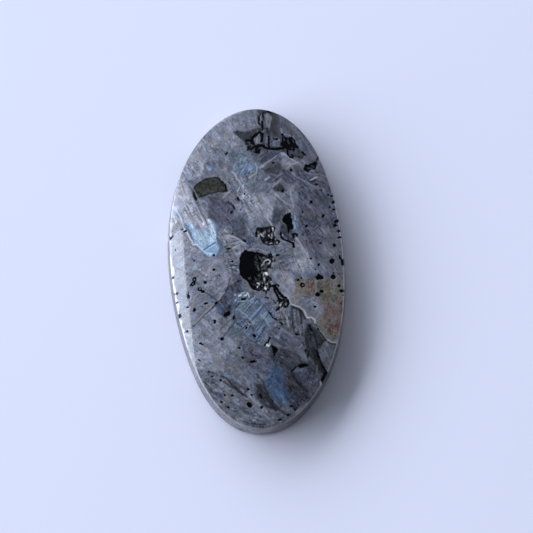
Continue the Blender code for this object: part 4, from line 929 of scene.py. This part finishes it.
# Mottling: soft clouds 1 mm across, and grit a quarter of that.
clouds = add(tree, "ShaderNodeTexNoise", {"Vector": spot, "Scale": 1.2, "Detail": 2.0, "Roughness": 0.5})
cloud_light = add(tree, "ShaderNodeMapRange", {"Value": clouds.outputs["Fac"], "From Min": 0.3, "From Max": 0.7,
                                               "To Min": 0.78, "To Max": 1.24})
grit = add(tree, "ShaderNodeTexNoise", {"Vector": spot, "Scale": 4.6, "Detail": 2.0, "Roughness": 0.6})
grit_light = add(tree, "ShaderNodeMapRange", {"Value": grit.outputs["Fac"], "From Min": 0.32, "From Max": 0.68,
                                              "To Min": 0.81, "To Max": 1.24})
mottled = add(tree, "ShaderNodeMath", {0: cloud_light.outputs[0], 1: grit_light.outputs[0]}, operation="MULTIPLY")

# Small crystals, oblong blocks along each large crystal's own direction.
grain_parts = add(tree, "ShaderNodeSeparateXYZ", {0: grain})
wobble = add(tree, "ShaderNodeVectorMath", {0: clouds.outputs["Color"], 1: (0.9, 0.9, 0.0)}, operation="MULTIPLY")
bent_grain = add(tree, "ShaderNodeVectorMath", {0: grain, 1: wobble.outputs[0]}, operation="ADD")
oblong = add(tree, "ShaderNodeVectorMath", {0: bent_grain.outputs[0], 1: (0.8, 1.7, 0.0)}, operation="MULTIPLY")
blocks = add(tree, "ShaderNodeTexVoronoi", {"Vector": oblong.outputs[0], "Scale": 1.0, "Randomness": 0.8},
             distance="CHEBYCHEV", voronoi_dimensions="2D")
block_value = add(tree, "ShaderNodeSeparateColor", {0: blocks.outputs["Color"]})
block_light = add(tree, "ShaderNodeMapRange", {"Value": block_value.outputs[0], "To Min": 0.82, "To Max": 1.2})
blocky = add(tree, "ShaderNodeMath", {0: mottled.outputs[0], 1: block_light.outputs[0]}, operation="MULTIPLY")

# Facets: the broken steps of the cleavage, 0.4 by 0.2 mm, each turned a little and so of its own tone.
stepped = add(tree, "ShaderNodeVectorMath", {0: bent_grain.outputs[0], 1: (2.6, 5.2, 0.0)}, operation="MULTIPLY")
facets = add(tree, "ShaderNodeTexVoronoi", {"Vector": stepped.outputs[0], "Scale": 1.0, "Randomness": 0.9},
             voronoi_dimensions="2D")
facet_value = add(tree, "ShaderNodeSeparateColor", {0: facets.outputs["Color"]})
facet_light = add(tree, "ShaderNodeMapRange", {"Value": facet_value.outputs[0], "To Min": 0.8, "To Max": 1.24})
faceted = add(tree, "ShaderNodeMath", {0: blocky.outputs[0], 1: facet_light.outputs[0]}, operation="MULTIPLY")

# Twin streaks: noise drawn out along each crystal's direction, about 0.2 mm wide.
drawn_out = add(tree, "ShaderNodeVectorMath", {0: grain, 1: (0.45, 3.6, 0.0)}, operation="MULTIPLY")
twins = add(tree, "ShaderNodeTexNoise", {"Vector": drawn_out.outputs[0], "Scale": 1.0, "Detail": 2.0,
                                         "Roughness": 0.5}, noise_dimensions="2D")
twin_light = add(tree, "ShaderNodeMapRange", {"Value": twins.outputs["Fac"], "From Min": 0.34, "From Max": 0.66,
                                              "To Min": -0.3, "To Max": 0.3})
twin_share = add(tree, "ShaderNodeMath", {0: twin_light.outputs[0], 1: grain_parts.outputs["Z"], 2: 1.0},
                 operation="MULTIPLY_ADD")
streaked = add(tree, "ShaderNodeMath", {0: faceted.outputs[0], 1: twin_share.outputs[0]}, operation="MULTIPLY")


# Cleavage cracks lie in patches about 2 mm across, with sound feldspar between them, and are most in the
# streakiest crystals.
patches = add(tree, "ShaderNodeTexNoise", {"Vector": spot, "Scale": 0.42, "Detail": 1.0}, noise_dimensions="2D")
patch_share = add(tree, "ShaderNodeMapRange", {"Value": patches.outputs["Fac"], "From Min": 0.44, "From Max": 0.56,
                                               "To Min": 0.2, "To Max": 1.0})
crystal_share = add(tree, "ShaderNodeMapRange", {"Value": grain_parts.outputs["Z"], "From Min": 0.25,
                                                 "From Max": 0.75, "To Min": 0.45, "To Max": 1.25})
patch = add(tree, "ShaderNodeMath", {0: patch_share.outputs[0], 1: crystal_share.outputs[0]}, operation="MULTIPLY")


def dashes(rock_light, stretch, rarity, change):
    """The feldspar's light with short straight dashes, drawn out by the stretch, darker or brighter in it."""
    drawn = add(tree, "ShaderNodeVectorMath", {0: grain, 1: stretch}, operation="MULTIPLY")
    noise = add(tree, "ShaderNodeTexNoise", {"Vector": drawn.outputs[0], "Scale": 1.0, "Detail": 1.0},
                noise_dimensions="2D")
    share = add(tree, "ShaderNodeMapRange", {"Value": noise.outputs["Fac"], "From Min": rarity,
                                             "From Max": rarity + 0.05, "To Min": 0.0, "To Max": change})
    changed = add(tree, "ShaderNodeMath", {0: share.outputs[0], 1: patch.outputs[0], 2: 1.0},
                  operation="MULTIPLY_ADD")
    return add(tree, "ShaderNodeMath", {0: rock_light, 1: changed.outputs[0]}, operation="MULTIPLY").outputs[0]


# Dark cracks along and across the crystal, 0.15 mm wide, and bright edges along it.
cracked = dashes(streaked.outputs[0], (1.0, 4.6, 0.0), 0.6, -0.5)
crossed = dashes(cracked, (4.4, 1.1, 0.0), 0.61, -0.45)
edged = dashes(crossed, (1.2, 5.6, 0.0), 0.61, 0.55)

# Specks of dark mica 0.15 mm across, in every sixth cell of 0.5 mm.
cells = add(tree, "ShaderNodeTexVoronoi", {"Vector": spot, "Scale": 2.0, "Randomness": 1.0}, voronoi_dimensions="2D")
cell_value = add(tree, "ShaderNodeSeparateColor", {0: cells.outputs["Color"]})
speck = add(tree, "ShaderNodeMapRange", {"Value": cells.outputs["Distance"], "From Min": 0.12, "From Max": 0.2,
                                         "To Min": -0.6, "To Max": 0.0})
chosen = add(tree, "ShaderNodeMath", {0: cell_value.outputs[0], 1: 0.84}, operation="GREATER_THAN")
specks = add(tree, "ShaderNodeMath", {0: speck.outputs[0], 1: chosen.outputs[0], 2: 1.0}, operation="MULTIPLY_ADD")
light = add(tree, "ShaderNodeMath", {0: edged, 1: specks.outputs[0]}, operation="MULTIPLY")

# The darker crystals are the more broken.
plain = add(tree, "ShaderNodeSeparateXYZ", {0: feldspar})
brokenness = add(tree, "ShaderNodeMapRange", {"Value": plain.outputs["Y"], "From Min": 0.04, "From Max": 0.2,
                                              "To Min": 1.3, "To Max": 0.85})
off_one = add(tree, "ShaderNodeMath", {0: light.outputs[0], 1: 1.0}, operation="SUBTRACT")
light = add(tree, "ShaderNodeMath", {0: off_one.outputs[0], 1: brokenness.outputs[0], 2: 1.0},
            operation="MULTIPLY_ADD")

# A little warmer here and cooler there.
warmth = add(tree, "ShaderNodeMix", {0: block_value.outputs[1], 6: (0.93, 1.0, 1.06, 1.0), 7: (1.07, 1.0, 0.92, 1.0)},
             data_type="RGBA")
tinted = add(tree, "ShaderNodeVectorMath", {0: feldspar, 1: warmth.outputs[2]}, operation="MULTIPLY")
rock = add(tree, "ShaderNodeVectorMath", {0: tinted.outputs[0], "Scale": light.outputs[0]}, operation="SCALE")

# The olive grain: brownish green, darker at its edge.
olive_mottling = add(tree, "ShaderNodeTexNoise", {"Vector": spot, "Scale": 3.0, "Detail": 2.0, "Roughness": 0.6})
olive_body = add(tree, "ShaderNodeValToRGB", {"Fac": olive_mottling.outputs["Fac"]})
olive_body.color_ramp.elements[0].position = 0.36
olive_body.color_ramp.elements[0].color = rgba("111110")
olive_body.color_ramp.elements[1].position = 0.62
olive_body.color_ramp.elements[1].color = rgba("3b3b2e")
olive_edge = add(tree, "ShaderNodeMapRange", {"Value": olive_reach, "From Min": -0.26, "From Max": -0.06,
                                              "To Min": 0.0, "To Max": 0.9})
olive_colour = add(tree, "ShaderNodeMix", {0: olive_edge.outputs[0], 6: olive_body.outputs[0], 7: rgba("0f0f0c")},
                   data_type="RGBA")
olive_cover = add(tree, "ShaderNodeMapRange", {"Value": olive_reach, "From Min": 0.05, "From Max": -0.05})
with_olive = add(tree, "ShaderNodeMix", {0: olive_cover.outputs[0], 6: rock.outputs[0], 7: olive_colour.outputs[2]},
                 data_type="RGBA")

# The thin marks, laid over it as they are.
mark_gap = add(tree, "ShaderNodeMath", {0: 1.0, 1: marks.outputs["Alpha"]}, operation="SUBTRACT")
under_marks = add(tree, "ShaderNodeVectorMath", {0: with_olive.outputs[2], "Scale": mark_gap.outputs[0]},
                  operation="SCALE")
with_marks = add(tree, "ShaderNodeVectorMath", {0: under_marks.outputs[0], 1: marks.outputs["Color"]}, operation="ADD")

# The ridge, rubbed to a pale matt line that is partly a painted highlight.
with_wear_and_highlight = add(tree, "ShaderNodeMix", {0: worn_and_highlit, 6: with_marks.outputs[0], 7: rgba("e8dfde")}, data_type="RGBA")

# Black minerals, with edges that the grit makes ragged.
centred_grit = add(tree, "ShaderNodeMath", {0: grit.outputs["Fac"], 1: 0.5}, operation="SUBTRACT")
ragged_edge = add(tree, "ShaderNodeMath", {0: centred_grit.outputs[0], 1: 0.18, 2: black_reach},
                  operation="MULTIPLY_ADD")
black_cover = add(tree, "ShaderNodeMapRange", {"Value": ragged_edge.outputs[0], "From Min": 0.04, "From Max": -0.02})
black_body = add(tree, "ShaderNodeMix", {0: clouds.outputs["Fac"], 6: rgba("020202"), 7: rgba("0d0d0e")},
                 data_type="RGBA")
with_black = add(tree, "ShaderNodeMix", {0: black_cover.outputs[0], 6: with_wear_and_highlight.outputs[2],
                                         7: black_body.outputs[2]}, data_type="RGBA")

# The pockets: crumpled leaves of torn mica, nearly black, with grey and a few bright edges that are
# painted glints.
leaves = add(tree, "ShaderNodeTexNoise", {"Vector": spot, "Scale": 2.2, "Detail": 2.0, "Roughness": 0.5,
                                          "Distortion": 0.8})
from_leaf_edge = add(tree, "ShaderNodeMath", {0: leaves.outputs["Fac"], 1: 0.5}, operation="SUBTRACT")
leaf_edge = add(tree, "ShaderNodeMath", {0: from_leaf_edge.outputs[0]}, operation="ABSOLUTE")
leaf_and_glint_colour = add(tree, "ShaderNodeValToRGB", {"Fac": leaf_edge.outputs[0]})
ramp = leaf_and_glint_colour.color_ramp
ramp.elements[0].position = 0.003
ramp.elements[0].color = rgba("6a686f")
ramp.elements[1].position = 0.022
ramp.elements[1].color = rgba("080708")
middle = ramp.elements.new(0.009)
middle.color = rgba("2a2a2e")
pocket_cover = add(tree, "ShaderNodeMapRange", {"Value": pocket_reach, "From Min": 0.04, "From Max": -0.04})
with_pockets = add(tree, "ShaderNodeMix", {0: pocket_cover.outputs[0], 6: with_black.outputs[2],
                                           7: leaf_and_glint_colour.outputs[0]}, data_type="RGBA")
glint_gap = add(tree, "ShaderNodeMath", {0: 1.0, 1: glints.outputs["Alpha"]}, operation="SUBTRACT")
under_glints = add(tree, "ShaderNodeVectorMath", {0: with_pockets.outputs[2], "Scale": glint_gap.outputs[0]},
                   operation="SCALE")
whole = add(tree, "ShaderNodeVectorMath", {0: under_glints.outputs[0], 1: glints.outputs["Color"]}, operation="ADD")

gloss = add(tree, "ShaderNodeMapRange", {"Value": polish_share, "To Min": SATIN, "To Max": POLISHED})
gloss_ridge = add(tree, "ShaderNodeMix", {0: worn_and_highlit, 2: gloss.outputs[0], 3: SATIN})
gloss_pocket = add(tree, "ShaderNodeMix", {0: pocket_cover.outputs[0], 2: gloss_ridge.outputs[0], 3: 0.4})
shine = add(tree, "ShaderNodeMapRange", {"Value": black_cover.outputs[0], "To Min": mirror_level,
                                        "To Max": 0.07})
shader = add(tree, "ShaderNodeBsdfPrincipled", {"Base Color": whole.outputs[0], "IOR": FELDSPAR_IOR,
                                                "Roughness": gloss_pocket.outputs[0],
                                                "Specular IOR Level": shine.outputs[0]})
add(tree, "ShaderNodeOutputMaterial", {"Surface": shader.outputs[0]})
stone_mesh.materials.append(larvikite)

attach(stone, "root")
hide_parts("cabochon")


# The paper
# A large sheet of smooth pale paper, which the photograph's daylight turns to a cool lavender.

PAPER_SIZE = 2.4

paper_mesh = bpy.data.meshes.new("paper")
half = PAPER_SIZE / 2
paper_mesh.from_pydata([(-half, -half, 0), (half, -half, 0), (half, half, 0), (-half, half, 0)], [], [(0, 1, 2, 3)])
paper = bpy.data.objects.new("paper", paper_mesh)
bpy.context.scene.collection.objects.link(paper)
paper_finish = bpy.data.materials.new("smooth_paper")
paper_finish.use_nodes = True
paper_shader = paper_finish.node_tree.nodes["Principled BSDF"]
paper_shader.inputs["Base Color"].default_value = rgba("e5e3ed")
paper_shader.inputs["Roughness"].default_value = 0.9
paper_mesh.materials.append(paper_finish)


# The light
# Daylight from a wide window to the left, whose top edge the steep shoulder mirrors as a sharp line. The
# room above and beyond is dim, so the polished black stays black.

WINDOW_AZIMUTH = math.radians(151)
WINDOW_DISTANCE = 0.8
WINDOW_WIDTH = 2.4
WINDOW_SILL, WINDOW_TOP = 0.17, 0.75
WINDOW_POWER = 31.5
DAYLIGHT = "e1ecff"
HORIZON, ZENITH = 0.75, 0.145
BRIGHT_AZIMUTH = math.radians(120)
ONE_SIDEDNESS = 1.0

light = bpy.data.lights.new("window", "AREA")
light.shape = "RECTANGLE"
light.size, light.size_y = WINDOW_WIDTH, WINDOW_TOP - WINDOW_SILL
light.energy = WINDOW_POWER
light.color = linear(DAYLIGHT)
window = bpy.data.objects.new("window", light)
towards = Vector((math.cos(WINDOW_AZIMUTH), math.sin(WINDOW_AZIMUTH), 0))
window.location = towards * WINDOW_DISTANCE + Vector((0, 0, (WINDOW_SILL + WINDOW_TOP) / 2))
window.rotation_euler = towards.to_track_quat("Z", "Y").to_euler()
bpy.context.scene.collection.objects.link(window)

room = bpy.data.worlds.new("dim_room")
room.use_nodes = True
walls = room.node_tree
towards_sky = add(walls, "ShaderNodeTexCoord").outputs["Generated"]
height = add(walls, "ShaderNodeSeparateXYZ", {0: towards_sky})
dimness = add(walls, "ShaderNodeMapRange", {"Value": height.outputs["Z"], "To Min": HORIZON, "To Max": ZENITH})
bright_side = (ONE_SIDEDNESS * math.cos(BRIGHT_AZIMUTH), ONE_SIDEDNESS * math.sin(BRIGHT_AZIMUTH), 0.0)
sidewards = add(walls, "ShaderNodeVectorMath", {0: towards_sky, 1: bright_side}, operation="DOT_PRODUCT")
brightness = add(walls, "ShaderNodeMath", {0: sidewards.outputs["Value"], 1: dimness.outputs[0], 2: dimness.outputs[0]},
                 operation="MULTIPLY_ADD")
walls.nodes["Background"].inputs["Color"].default_value = rgba(DAYLIGHT)
walls.links.new(brightness.outputs[0], walls.nodes["Background"].inputs["Strength"])
bpy.context.scene.world = room
bpy.context.scene.view_settings.view_transform = "Standard"


# The camera
# Almost straight above the stone, leaning towards its foot, as the photograph was taken.

CAMERA_AZIMUTH, CAMERA_ELEVATION, CAMERA_ROLL = -8.0, 78.0, -2.75
CAMERA_DISTANCE = 0.23
AIM = Vector((0.000976, -0.000219, 0.004))
PICTURE = 533
PIXELS_PER_MM = 9.278
SENSOR = 36.0

azimuth, elevation = math.radians(CAMERA_AZIMUTH), math.radians(CAMERA_ELEVATION)
back = Vector((math.sin(azimuth) * math.cos(elevation), -math.cos(azimuth) * math.cos(elevation),
               math.sin(elevation)))
up = (Vector((0, 1, 0)) - back * back.y).normalized()
right = up.cross(back)
roll = math.radians(CAMERA_ROLL)
right, up = right * math.cos(roll) + up * math.sin(roll), up * math.cos(roll) - right * math.sin(roll)
camera_data = bpy.data.cameras.new("camera")
camera_data.sensor_width = SENSOR
camera_data.lens = PIXELS_PER_MM * CAMERA_DISTANCE / MM / PICTURE * SENSOR
camera_data.clip_start, camera_data.clip_end = 0.01, 10
camera = bpy.data.objects.new("camera", camera_data)
camera.matrix_world = Matrix.Translation(AIM + back * CAMERA_DISTANCE) @ Matrix((right, up, back)).transposed().to_4x4()
bpy.context.scene.collection.objects.link(camera)
bpy.context.scene.camera = camera
